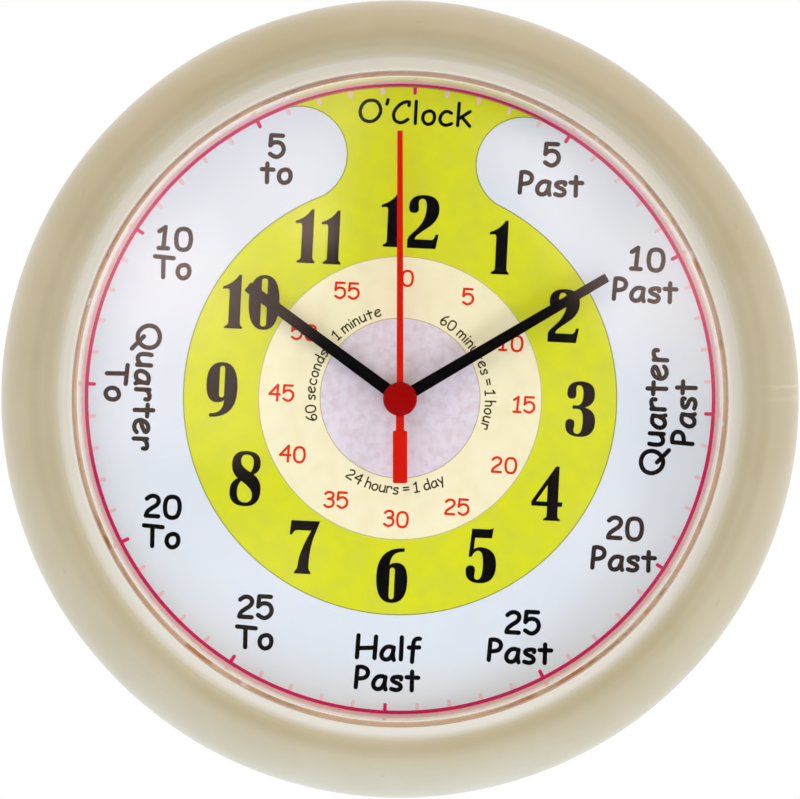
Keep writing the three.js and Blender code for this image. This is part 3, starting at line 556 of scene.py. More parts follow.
def printed(name: str, colour: Colour, second: Optional[Colour] = None, blotch: float = 5.0,
            spread: float = 0.6, roughness: float = 0.45, size: float = 0.3, depth: float = 0.002) -> Finish:
    """Gives the finish of the dial's paper or of an ink on it, with the values that Finish has."""
    return Finish(name, "dial_paper", colour, second, blotch=blotch, spread=spread, roughness=roughness,
                  grain=Grain.PRINTED, size=size, depth=depth, sheen=0.09)


CASE = CaseFinish("tan case plastic", "case_plastic", (182, 169, 138), (174, 160, 124), roughness=0.3,
                  coat=0.28, depth=0.009)
BOND = BondFinish("amber glue", "adhesive", (214, 182, 152), (190, 151, 119), roughness=0.3, depth=0.12)
LENS = LensFinish("clear lens plastic", "lens_clear", (255, 255, 255), (253, 254, 253), roughness=0.05,
                  depth=0.02)
PAPER = printed("white dial paper", (226, 228, 236), (219, 222, 233), 30, 0.5, 0.62, 0.35, 0.003)
LIME = printed("lime ink", (221, 220, 34), (213, 213, 56), 9, 0.8, 0.5, 0.35, 0.003)
CREAM = printed("cream ink", (251, 238, 202), (246, 231, 191), 7, 0.8, 0.5, 0.35, 0.003)
LILAC = printed("lilac ink", (234, 221, 232), (219, 198, 207), 2.6, 0.75, 0.5, 0.35, 0.003)
OLIVE_LINE = printed("olive ink", (150, 150, 84), None, 4, 0.35, 0.5)
SAND_LINE = printed("sand ink", (196, 182, 138), None, 4, 0.35, 0.5)
CRIMSON = printed("crimson ink", (216, 38, 97), (206, 28, 99), 6)
ROSE = printed("pale rose ink", (238, 200, 204), (232, 184, 194))
BLACK_INK = printed("black ink", (5, 5, 9), (12, 12, 17), roughness=0.4, depth=0.003)
ORANGE_INK = printed("orange ink", (240, 44, 0), (232, 38, 0))
NOTE_INK = printed("dark olive ink", (66, 56, 18), (84, 72, 32), 4, 0.5)
PLATE = Finish("ivory plate plastic", "plate_plastic", (236, 232, 220), (226, 221, 206), blotch=24,
               roughness=0.42, size=0.4, depth=0.006)
BLACK_PLASTIC = Finish("black movement plastic", "black_plastic", (30, 30, 32), (40, 40, 43), blotch=10,
                       roughness=0.5, scuff=0.16, size=0.25, depth=0.012)
MARKING = Finish("pale grey marking", "black_plastic", (176, 178, 180), (160, 162, 165), blotch=4,
                 roughness=0.5, grain=Grain.PRINTED, size=0.3, depth=0.003)
GREY_PLASTIC = Finish("grey knob plastic", "grey_plastic", (112, 116, 120), (98, 102, 107), blotch=5,
                      roughness=0.46, size=0.2, depth=0.008)
GEAR_PLASTIC = Finish("white gear plastic", "gear_plastic", (232, 230, 220), (222, 218, 203), blotch=3,
                      roughness=0.36, size=0.2)
BOBBIN_PLASTIC = Finish("amber bobbin plastic", "bobbin_plastic", (214, 160, 66), (198, 142, 50), blotch=4,
                        roughness=0.4, size=0.2)
RUBBER = Finish("black rubber", "rubber", (32, 32, 33), (46, 45, 44), blotch=4, roughness=0.86,
                grain=Grain.RUBBER, size=0.3, depth=0.03)
STEEL = Finish("zinc plated steel", "steel", (188, 191, 196), (168, 172, 180), blotch=7, spread=0.5,
               roughness=0.32, scuff=0.18, metallic=1.0, grain=Grain.BRUSHED, size=0.35)
BRASS = Finish("turned brass", "brass", (206, 166, 84), (184, 140, 66), blotch=3, spread=0.5,
               roughness=0.26, scuff=0.14, metallic=1.0, grain=Grain.SPUN, size=0.22)
MAGNET = Finish("dark ferrite", "magnet", (62, 62, 66), (48, 48, 52), blotch=2, roughness=0.42,
                metallic=0.7, size=0.2, depth=0.01)
COPPER = Finish("enamelled copper wire", "copper_wire", (190, 98, 48), (160, 74, 36), blotch=3,
                roughness=0.28, metallic=0.9, coat=0.4, size=0.15, depth=0.003)
BOARD = Finish("green board laminate", "board_laminate", (32, 104, 58), (22, 84, 46), blotch=5,
               roughness=0.34, grain=Grain.BOARD, depth=0.006)
JACKET = Finish("cell jacket", "cell_jacket", (58, 84, 118), (50, 74, 106), blotch=16, roughness=0.28,
                coat=0.5, size=0.4, depth=0.003)
JACKET_BAND = Finish("cell band", "cell_jacket", (196, 200, 204), (182, 187, 193), blotch=12, roughness=0.3,
                     coat=0.4, size=0.4, depth=0.003)
HAND_BLACK = Finish("black hand paint", "hand_black", (5, 4, 7), (11, 10, 13), blotch=6, roughness=0.4,
                    scuff=0.12, size=0.15, depth=0.003, sheen=0.08)
HAND_RED = Finish("red hand paint", "hand_red", (216, 20, 0), (203, 14, 0), size=0.2, depth=0.003, sheen=0.1)
CAP_RED = Finish("red cap plastic", "cap_red", (160, 0, 0), (148, 0, 0), blotch=4, roughness=0.38,
                 size=0.3, sheen=0.06)


def place_piece(mesh: bpy.types.Mesh, name: str, finish: Finish, body: str = "case",
                replaces: Sequence[str] = (), crease: float = 32.0) -> bpy.types.Object:
    """Puts a finished mesh in the scene as a piece of the clock.

    Args:
        mesh: the mesh, with its place in it.
        name: the piece's name.
        finish: what it is made of.
        body: the body that it moves with.
        replaces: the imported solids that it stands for.
        crease: the angle in degrees past which an edge stays sharp.

    Returns:
        The new object.
    """
    mesh.name = name
    mesh.materials.clear()
    mesh.materials.append(finish.material())
    mesh.shade_smooth()
    mesh.set_sharp_from_angle(angle=math.radians(crease))
    piece = bpy.data.objects.new(name, mesh)
    bpy.context.scene.collection.objects.link(piece)
    piece.modifiers.new("even shading", "WEIGHTED_NORMAL").keep_sharp = True
    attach(piece, body)
    if replaces:
        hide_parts(*replaces)
    log.info("%s on %s, %d faces", name, body, len(mesh.polygons))
    return piece


class Blank:
    """A body being made, from turned and raised forms in millimetres of the front view."""

    def __init__(self) -> None:
        """Starts with nothing."""
        self.mesh = bmesh.new()

    def turn(self, profile: Sequence[Point], segments: int = 96, centre: Point = (0.0, 0.0)) -> "Blank":
        """Turns a closed profile about an axis that runs from the wall to the front.

        Args:
            profile: pairs of radius and depth.
            segments: faces round the axis.
            centre: the axis's place in the front view.

        Returns:
            This blank.
        """
        rings = []
        for radius, depth in profile:
            if radius < 1e-6:
                rings.append([self.mesh.verts.new(spot(centre[0], centre[1], depth))] * segments)
            else:
                rings.append([self.mesh.verts.new(spot(x, y, depth))
                              for x, y in circle(radius, segments, centre)])
        for near, far in zip(rings, rings[1:] + rings[:1]):
            for i in range(segments):
                j = (i + 1) % segments
                corners = list(dict.fromkeys((near[i], near[j], far[j], far[i])))
                if len(corners) > 2:
                    self.mesh.faces.new(corners)
        return self

    def lift(self, loops: Sequence[Sequence[Point]], back: float, front: float) -> "Blank":
        """Raises a flat outline, with any holes in it, between two depths.

        Args:
            loops: the outline and its holes.
            back: depth of the back face.
            front: depth of the front face.

        Returns:
            This blank.
        """
        flat = [[Vector((x, y, 0.0)) for x, y in loop] for loop in loops]
        points = [point for loop in loops for point in loop]
        low = [self.mesh.verts.new(spot(x, y, back)) for x, y in points]
        high = [self.mesh.verts.new(spot(x, y, front)) for x, y in points]
        for corners in tessellate_polygon(flat):
            self.mesh.faces.new([high[i] for i in corners])
            self.mesh.faces.new([low[i] for i in reversed(corners)])
        start = 0
        for loop in loops:
            for i in range(len(loop)):
                this, after = start + i, start + (i + 1) % len(loop)
                self.mesh.faces.new((low[this], low[after], high[after], high[this]))
            start += len(loop)
        return self

    def merge(self) -> None:
        """Merges the points that coincide and turns the faces outwards."""
        bmesh.ops.remove_doubles(self.mesh, verts=self.mesh.verts, dist=1e-7)
        bmesh.ops.recalc_face_normals(self.mesh, faces=self.mesh.faces)

    def soften(self, width: float, segments: int = 2, angle: float = 35.0) -> "Blank":
        """Rounds the sharp edges made so far.

        Args:
            width: width of the rounding in millimetres.
            segments: faces across it.
            angle: the angle in degrees past which an edge is rounded.

        Returns:
            This blank.
        """
        self.merge()
        sharp = [edge for edge in self.mesh.edges
                 if len(edge.link_faces) == 2 and edge.calc_face_angle(0.0) > math.radians(angle)]
        bmesh.ops.bevel(self.mesh, geom=sharp, offset=width * MM, segments=segments, profile=0.5,
                        affect="EDGES", clamp_overlap=True)
        return self

    def done(self) -> bpy.types.Mesh:
        """Closes the body.

        Returns:
            Its mesh.
        """
        self.merge()
        mesh = bpy.data.meshes.new("blank")
        self.mesh.to_mesh(mesh)
        self.mesh.free()
        return mesh

    def piece(self, name: str, finish: Finish, body: str = "case", replaces: Sequence[str] = (),
              crease: float = 32.0) -> bpy.types.Object:
        """Closes the body and puts it in the scene, as place_piece does."""
        return place_piece(self.done(), name, finish, body, replaces, crease)


class Recipe(NodeTree):
    """A Geometry Nodes tree with named inputs, run once on a mesh."""

    def __init__(self, name: str, inputs: dict[str, str]) -> None:
        """Starts a tree.

        Args:
            name: the tree's name.
            inputs: the type of each named input.
        """
        super().__init__(bpy.data.node_groups.new(name, "GeometryNodeTree"))
        sockets = {"Geometry": "NodeSocketGeometry", **inputs, "Finish": "NodeSocketMaterial"}
        for label, kind in sockets.items():
            self.tree.interface.new_socket(label, in_out="INPUT", socket_type=kind)
        self.tree.interface.new_socket("Geometry", in_out="OUTPUT", socket_type="NodeSocketGeometry")
        self.entry = self.add("NodeGroupInput")

    def given(self, label: str) -> bpy.types.NodeSocket:
        """Gives a named input of the tree."""
        return self.entry.outputs[label]

    def out(self, kind: str, settings: Optional[dict[str, Any]] = None,
            values: Optional[dict[Union[str, int], Any]] = None) -> bpy.types.NodeSocket:
        """Adds a node and gives its first output."""
        return self.add(kind, settings, values).outputs[0]

    def math(self, operation: str, *values: Any) -> bpy.types.NodeSocket:
        """Adds one Math node."""
        return self.out("ShaderNodeMath", {"operation": operation}, dict(enumerate(values)))

    def pipe(self, radius: bpy.types.NodeSocket, sides: int,
             caps: bool = False) -> tuple[bpy.types.NodeSocket, bpy.types.NodeSocket]:
        """Draws a pipe along the edges that go in.

        Args:
            radius: the pipe's radius.
            sides: faces round it.
            caps: whether its ends are closed.

        Returns:
            The path and the pipe.
        """
        path = self.out("GeometryNodeMeshToCurve", values={"Mesh": self.given("Geometry")})
        section = self.out("GeometryNodeCurvePrimitiveCircle", values={"Resolution": sides,
                                                                       "Radius": radius})
        pipe = self.out("GeometryNodeCurveToMesh", values={"Curve": path, "Profile Curve": section,
                                                           "Fill Caps": caps})
        return path, pipe

    def close(self, geometry: bpy.types.NodeSocket) -> "Recipe":
        """Ends the tree with real geometry and its material.

        Args:
            geometry: what comes out of the tree's last step.

        Returns:
            This recipe.
        """
        real = self.out("GeometryNodeRealizeInstances", values={0: geometry})
        dressed = self.out("GeometryNodeSetMaterial", values={"Geometry": real,
                                                              "Material": self.given("Finish")})
        self.add("NodeGroupOutput", values={0: dressed})
        return self

    def run(self, mesh: bpy.types.Mesh, finish: Finish, **values: Any) -> bpy.types.Mesh:
        """Runs the tree on a mesh.

        Args:
            mesh: what goes in.
            finish: the finish that the tree sets.
            values: the named inputs.

        Returns:
            The plain mesh that comes out.
        """
        carrier = bpy.data.objects.new("carrier", mesh)
        bpy.context.scene.collection.objects.link(carrier)
        modifier = carrier.modifiers.new(self.tree.name, "NODES")
        modifier.node_group = self.tree
        values["Finish"] = finish.material()
        for item in self.tree.interface.items_tree:
            if item.in_out == "INPUT" and item.name in values:
                modifier[item.identifier] = values[item.name]
        ready = carrier.evaluated_get(bpy.context.evaluated_depsgraph_get())
        result = bpy.data.meshes.new_from_object(ready)
        carrier.modifiers.remove(modifier)
        bpy.data.objects.remove(carrier)
        return result


def ring_recipe() -> Recipe:
    """Makes the tree that repeats a form in a ring round the hands' axis.

    Returns:
        The recipe, whose inputs are Count, Pitch and Start in radians, and Skip, which leaves out
        every place whose number it divides.
    """
    recipe = Recipe("ring of forms", {"Count": "NodeSocketInt", "Pitch": "NodeSocketFloat",
                                      "Start": "NodeSocketFloat", "Skip": "NodeSocketInt"})
    number = recipe.out("GeometryNodeInputIndex")
    points = recipe.out("GeometryNodePoints", values={"Count": recipe.given("Count")})
    angle = recipe.math("MULTIPLY_ADD", number, recipe.given("Pitch"), recipe.given("Start"))
    turn = recipe.out("ShaderNodeCombineXYZ", values={"Y": angle})
    left = recipe.math("FLOORED_MODULO", recipe.math("ADD", number, 1.0), recipe.given("Skip"))
    kept = recipe.math("GREATER_THAN", left, 0.5)
    placed = recipe.out("GeometryNodeInstanceOnPoints", values={
        "Points": points, "Selection": kept, "Instance": recipe.given("Geometry"), "Rotation": turn})
    return recipe.close(placed)


def in_ring(ring: Recipe, form: Blank, finish: Finish, count: int, start: float = 0.0,
            skip: int = SKIP_NONE) -> bpy.types.Mesh:
    """Repeats a form evenly in a ring round the hands' axis.

    Args:
        ring: the tree that does it.
        form: the form, which is closed by this.
        finish: what it is made of.
        count: number of places round the ring.
        start: angle of the first place in radians, clockwise from the top.
        skip: leaves out every place whose number it divides.

    Returns:
        The mesh of the whole ring.
    """
    return ring.run(form.done(), finish, Count=count, Pitch=TAU / count, Start=start, Skip=skip)


def stroke_recipe() -> Recipe:
    """Makes the tree that draws pen strokes with round ends along edges on a flat sheet.

    Returns:
        The recipe, whose inputs are the stroke's Width, its Height above the sheet and the sheet's Level.
    """
    recipe = Recipe("pen strokes", {"Width": "NodeSocketFloat", "Height": "NodeSocketFloat",
                                    "Level": "NodeSocketFloat"})
    half = recipe.math("MULTIPLY", recipe.given("Width"), 0.5)
    path, line = recipe.pipe(half, 8, caps=True)
    ends = recipe.out("GeometryNodeCurveEndpointSelection")
    dot = recipe.out("GeometryNodeMeshUVSphere", values={"Segments": 10, "Rings": 6, "Radius": half})
    tips = recipe.out("GeometryNodeInstanceOnPoints", values={"Points": path, "Selection": ends,
                                                              "Instance": dot})
    tips = recipe.out("GeometryNodeRealizeInstances", values={0: tips})
    both = recipe.out("GeometryNodeJoinGeometry", values={0: [tips, line]})
    place = recipe.out("GeometryNodeInputPosition")
    split = recipe.add("ShaderNodeSeparateXYZ", values={0: place})
    rise = recipe.math("SUBTRACT", split.outputs[1], recipe.given("Level"))
    flat = recipe.math("DIVIDE", recipe.given("Height"), half)
    depth = recipe.math("MULTIPLY_ADD", rise, flat, recipe.given("Level"))
    moved = recipe.out("ShaderNodeCombineXYZ", values={"X": split.outputs[0], "Y": depth,
                                                       "Z": split.outputs[2]})
    pressed = recipe.out("GeometryNodeSetPosition", values={"Geometry": both, "Position": moved})
    return recipe.close(pressed)


def smooth_line(points: Sequence[Point], closed: bool = False, steps: int = 5) -> list[Point]:
    """Draws a smooth line through points.

    Args:
        points: the points, in order.
        closed: whether the line comes back to its first point.
        steps: steps between two points.

    Returns:
        The points of the smooth line; two points stay a straight line.
    """
    count = len(points)
    if count < 3:
        return list(points)
    result = []
    for i in range(count if closed else count - 1):
        near = [i + shift for shift in (-1, 0, 1, 2)]
        a, b, c, d = (points[k % count if closed else min(max(k, 0), count - 1)] for k in near)
        for step in range(steps):
            t = step / steps
            result.append(tuple(
                0.5 * (2 * b[k] + (c[k] - a[k]) * t + (2 * a[k] - 5 * b[k] + 4 * c[k] - d[k]) * t * t
                       + (3 * b[k] - a[k] - 3 * c[k] + d[k]) * t ** 3)
                for k in range(2)))
    if not closed:
        result.append(points[-1])
    return result


def outline(path: str, steps: int = 7) -> list[list[Point]]:
    """Reads an outline written with move, line and quadratic curve commands.

    Args:
        path: the commands; Z closes a loop.
        steps: steps along each curve.

    Returns:
        The loops.
    """
    words = path.split()
    loops: list[list[Point]] = []
    i = 0
    while i < len(words):
        word = words[i]
        if word == "Z":
            if loops[-1][0] == loops[-1][-1]:
                loops[-1].pop()
            i += 1
            continue
        command, x = word[0], float(word[1:])
        y = float(words[i + 1])
        i += 2
        if command == "M":
            loops.append([(x, y)])
        elif command == "L":
            loops[-1].append((x, y))
        else:
            end = (float(words[i]), float(words[i + 1]))
            i += 2
            start = loops[-1][-1]
            for step in range(1, steps + 1):
                t = step / steps
                loops[-1].append(tuple(
                    (1 - t) ** 2 * start[k] + 2 * t * (1 - t) * (x, y)[k] + t * t * end[k]
                    for k in range(2)))
    return loops


def pill(left: float, right: float, low: float, high: float, steps: int = 6) -> list[Point]:
    """Gives an upright slot with round ends, for the eye of a figure.

    Args:
        left: its left side.
        right: its right side.
        low: its lower end.
        high: its upper end.
        steps: steps round each end.

    Returns:
        The loop.
    """
    radius = (right - left) / 2
    middle = (left + right) / 2
    quarter = math.pi / 2
    return (arc(radius, quarter, -quarter, steps, (middle, high - radius))
            + arc(radius, -quarter, -3 * quarter, steps, (middle, low + radius)))


# Outlines of the hour figures, in hundredths of their height; the 6 has no eye yet, and turned it is the 9
FIGURES: dict[str, str] = {
    "0": "M28.5 0 Q57 0 57 51 Q57 102 28.5 102 Q0 102 0 51 Q0 0 28.5 0 Z M23 12 Q23 6.5 28.5 6.5 "
         "Q34 6.5 34 12 L34 90 Q34 95.5 28.5 95.5 Q23 95.5 23 90 Z",
    "1": "M5.5 0 L38.5 0 L38.5 4 Q34 6 34 11 L34 100 L29 100 Q20 84 0.5 77.5 Q-0.5 75 0.5 72.5 L7 73.5 "
         "Q12.5 74 12.5 68 L12.5 11 Q12.5 6 5.5 4 Z",
    "2": "M0 0 L53 0 L57.5 27 L52 27 Q49.5 16.5 44 16.5 L13.5 16.5 Q14 21 22 27.5 L40 41 Q57 54 57 73 "
         "Q57 99 29 99 Q0.5 99 0.5 75 Q0.5 65 9.5 65 Q19 65 19 73 Q19 76 18 82 Q18 92 25.5 92 "
         "Q33 92 33 76 Q33 53 17 36 L5 24 Q0 18 0 14 Z",
    "3": "M1 81 Q1 103 26 103 Q52.5 103 52.5 79 Q52.5 60 35 55 Q55 50 55 29 Q55 0 26 0 Q0 0 0 22 "
         "Q0 32.5 8.5 32.5 Q17 32.5 17 23 Q16.5 17 15.5 13 Q15 5.5 23 5.5 Q32 5.5 32 30 "
         "Q32 51.5 22 51.5 L12.5 51.5 Q11 55 12.5 58 L20 58 Q31 58 31 79 Q31 95.5 22.5 95.5 "
         "Q16.5 95.5 17.5 86 Q18 84 18 79 Q18 70 9.5 70 Q1 70 1 81 Z",
    "4": "M23.5 0 L54.5 0 L54.5 3.5 Q49.5 5 49.5 10 L49.5 26.5 L57 26.5 L58 35 L49.5 35 L49.5 101 "
         "L43 101 L0 34.5 L0.5 26.5 L29.5 26.5 L29.5 10 Q29.5 5 23.5 3.5 Z M9 35 L29 35 L29 66 Z",
    "5": "M8.5 100.5 L38 100.5 Q45 101 48.5 103.5 L46 84 L15 84 L13.5 63 Q19 67 28 67 Q56 65 56 34 "
         "Q56 0 26 0 Q0 0 0 22 Q0 32.5 9 32.5 Q17.5 32.5 17.5 23 Q17 17 16.5 13 Q16.5 6.5 22.5 6.5 "
         "Q31.5 6.5 31.5 35 Q31.5 60 22 60 Q15 60 11 50 Q8 46.5 4.5 48.5 Z",
    "6": "M49.5 102.5 Q51.5 99 49.5 95.5 Q25 96 24 70 Q28 75 37.5 75 Q58 75 58 40 Q58 0 29 0 "
         "Q0 0 0 49 Q0 102.5 49.5 102.5 Z",
    "7": "M11.5 0 L42 0 L42 4 Q37.5 6 37.5 15 Q38 52 48 77 L55.5 98.5 L2 98.5 L0 72 L4.5 72 "
         "Q8 80.5 15 80.5 L39.5 80.5 Q20 42 18 22 Q17 6 11.5 4 Z",
    "8": "M28.5 102.5 Q2.5 102.5 2.5 77.5 Q2.5 60 14 51.5 Q0 45 0 26.5 Q0 0 28.5 0 Q57.5 0 57.5 31 "
         "Q57.5 50 43.5 59.5 Q55.5 65 55.5 80 Q55.5 102.5 28.5 102.5 Z M29 95.5 Q42.5 95.5 42.5 81 "
         "Q42.5 71 37.5 63.5 Q19 73 19 83 Q19 95.5 29 95.5 Z M21 46.5 Q14 40 14 27 Q14 7 29 7 "
         "Q42 7 42 21 Q42 33 21 46.5 Z",
}
# How far right the second figure of an hour starts
SECOND_FIGURE: dict[str, float] = {"12": 50.5, "11": 48.2, "10": 48.6}
# The middle of each hour, in millimetres
HOURS: dict[str, Point] = {
    "12": (0.5, 65.9), "1": (34.1, 57.7), "2": (59.3, 33.5), "3": (67.2, -0.8), "4": (56.3, -32.6),
    "5": (33.0, -56.8), "6": (0.2, -65.8), "7": (-32.9, -57.0), "8": (-55.8, -32.6), "9": (-66.2, -0.1),
    "10": (-57.0, 33.0), "11": (-33.2, 58.4),
}
# Each letter's width and pen strokes, in hundredths of the letter height; a closed stroke says True
PEN: dict[str, tuple[float, list[Stroke]]] = {
    "O": (93, [(True, [(53, 95.5), (77.7, 87), (93, 58), (88, 29), (69, 6.6), (43, -1.7), (13.6, 8.7),
                       (0.4, 37.6), (7.4, 68.6), (26, 89)])]),
    "'": (4.5, [(False, [(4.5, 101), (0, 82)])]),
    "C": (68, [(False, [(67.8, 80), (68.6, 95.5)]),
               (False, [(68.6, 95.5), (50, 95), (25.6, 81), (5.8, 56), (0, 33.5), (7, 10.7), (29.8, 0),
                        (50.4, 5.8), (65.3, 16.5)])]),
    "l": (1, [(False, [(0, 0), (0, 100)])]),
    "o": (53, [(True, [(29.8, 59.5), (47, 52), (53.3, 32), (46.3, 8.7), (25.6, -1.7), (7.4, 7.4),
                       (0, 27.3), (7.4, 50)])]),
    "c": (54, [(False, [(51.2, 54), (33.9, 61.6), (15.3, 55.4), (2.9, 37.6), (0.8, 19), (11.2, 3.7),
                        (27.7, -1.7), (44.2, 2.5), (53.7, 7.4)])]),
    "k": (54.5, [(False, [(2.5, 100.8), (0, 0)]), (False, [(53.3, 65.3), (7.9, 33.5)]),
                 (False, [(17.4, 38.8), (54.5, -0.8)])]),
    "P": (52.5, [(False, [(4, 92), (0, 0)]),
                 (False, [(4, 92), (23.6, 93.4), (44, 86), (52.5, 69.4), (46, 51), (30, 42.6), (9, 39.7)])]),
    "a": (57, [(False, [(53.7, 50.8), (37.2, 55.4), (18.6, 51.2), (4.1, 34.3), (0, 15.7), (7.4, 0.8),
                        (22.7, -4), (39.3, 3.3), (51.2, 26)]),
               (False, [(54.5, 52), (51.7, 28), (52.9, 7.4), (57, -4)])]),
    "s": (43, [(False, [(43, 45.5), (43, 54.5), (26.4, 55.8), (9, 51.7), (2.9, 41.3), (15.3, 31.4),
                        (33.9, 24), (43, 12.4), (38, 0.8), (21.5, -4.5), (0.8, 0)])]),
    "t": (53, [(False, [(24, 82.6), (26, -2)]), (False, [(0, 56.2), (53, 56.2)])]),
    "T": (85, [(False, [(0, 92.3), (85, 87.7)]), (False, [(38.6, 90), (41.4, 0)])]),
    "H": (83, [(False, [(2.7, 100), (0, 0)]), (False, [(82.7, 97.7), (80, 0)]),
               (False, [(4, 41.8), (81, 47.7)])]),
    "f": (48, [(False, [(48.2, 97.7), (33, 96.4), (22.7, 86.4), (19.5, 63.6), (17.3, -9)]),
               (False, [(0, 55.5), (46.8, 58.2)])]),
    "Q": (100, [(True, [(54.5, 96.4), (81.8, 87.3), (98, 65.9), (100, 38.6), (87.7, 13.6), (62.7, -2.7),
                        (33, -0.9), (10.5, 18.2), (0, 45.5), (7.3, 75), (28.6, 91.8)]),
                (False, [(50, 23.6), (108, -28)])]),
    "u": (51, [(False, [(3.2, 62.7), (0.5, 38.6), (2.3, 14.5), (13.6, 1.8), (31.8, 3.6), (47.3, 15.9)]),
               (False, [(50.9, 62.7), (50, -0.9)])]),
    "r": (44, [(False, [(0, 61), (0, 0)]),
               (False, [(0, 43), (11.4, 56.8), (29.5, 62.7), (43, 58), (43.6, 44.5)])]),
    "e": (55.5, [(False, [(6.8, 29), (27.3, 35.5), (51.4, 49), (48.2, 60.5), (29.5, 63.6), (10, 52.3),
                          (0, 29.5), (6.4, 9), (25, 0), (43.2, 2.7), (55.5, 12.3)])]),
    "m": (80, [(False, [(0, 60), (0, 0)]),
               (False, [(0, 42), (10, 56), (24, 61), (36, 54), (39, 40), (39, 0)]),
               (False, [(39, 42), (50, 56), (63, 61), (75, 54), (79, 40), (80, 0)])]),
    "n": (46, [(False, [(0, 60), (0, 0)]),
               (False, [(0, 42), (11, 56), (26, 61), (40, 54), (45, 40), (46, 0)])]),
    "i": (1, [(False, [(0, 58), (0, 0)]), (False, [(0, 83), (0.5, 86)])]),
    "h": (46, [(False, [(0, 100), (0, 0)]),
               (False, [(0, 42), (11, 56), (26, 61), (40, 54), (45, 40), (46, 0)])]),
    "d": (53, [(False, [(50, 48), (34, 59), (15, 54), (1, 36), (2, 14), (16, 0), (34, 2), (51, 20)]),
               (False, [(52, 100), (53, 0)])]),
    "y": (50, [(False, [(0, 58), (24, 4)]), (False, [(50, 58), (12, -32)])]),
    "=": (52, [(False, [(0, 57), (51, 58)]), (False, [(1, 32), (52, 33)])]),
    "0": (67, [(True, [(33.5, 92), (58, 82), (67, 46), (58, 8), (33.5, -3.5), (8, 8), (0, 46), (8, 82)])]),
    "1": (43, [(False, [(0, 76), (27.8, 96)]), (False, [(26.8, 96), (21.2, 0)]),
               (False, [(0, 0), (43, 0)])]),
    "2": (56, [(False, [(0.9, 77.7), (15.9, 89.5), (32.7, 92.3), (49, 85.5), (55.5, 69.5), (46.4, 51.4),
                        (25, 35.9), (6.4, 19.5), (0, 0.9)]), (False, [(0, 0.5), (56.4, 0)])]),
    "3": (58, [(False, [(3, 84), (20, 96), (45, 93), (55, 76), (45, 58), (22, 53)]),
               (False, [(22, 53), (48, 48), (58, 28), (48, 8), (22, 0), (0, 12)])]),
    "4": (70, [(False, [(57, 98), (55, -2)]), (False, [(57, 98), (4, 38)]), (False, [(4, 38), (70, 38)])]),
    "5": (63, [(False, [(56.6, 97), (4.1, 97)]), (False, [(4.1, 97), (1.2, 50)]),
               (False, [(1.2, 50), (13.2, 62), (33, 66.5), (53.7, 58.3), (62.8, 37.6), (57, 15.7),
                        (38.8, 1.2), (21.5, 1.2), (1.7, 12)])]),
    "6": (55, [(False, [(45, 98), (20, 75), (3, 45), (0, 25), (12, 3), (35, 0), (52, 12), (55, 30),
                        (45, 45), (25, 47), (5, 32)])]),
}
# Where the letters of a word start, and its width, in hundredths of the letter height
STARTS: dict[str, tuple[list[float], float]] = {
    "O'Clock": ([0, 120, 153, 253, 286, 364, 446], 500), "Past": ([0, 79, 161, 229], 282),
    "Quarter": ([0, 130, 208, 292, 360, 431, 516], 560), "Half": ([0, 111, 200, 234], 282),
    "To": ([0, 106], 159), "25": ([0, 83], 146), "10": ([0, 78], 145), "20": ([0, 85], 152), "5": ([0], 63),
}
# The width of a space and the mid height of the letters of a curved line, in hundredths of the letter height
SPACE = 34.0
MID_HEIGHT = 45


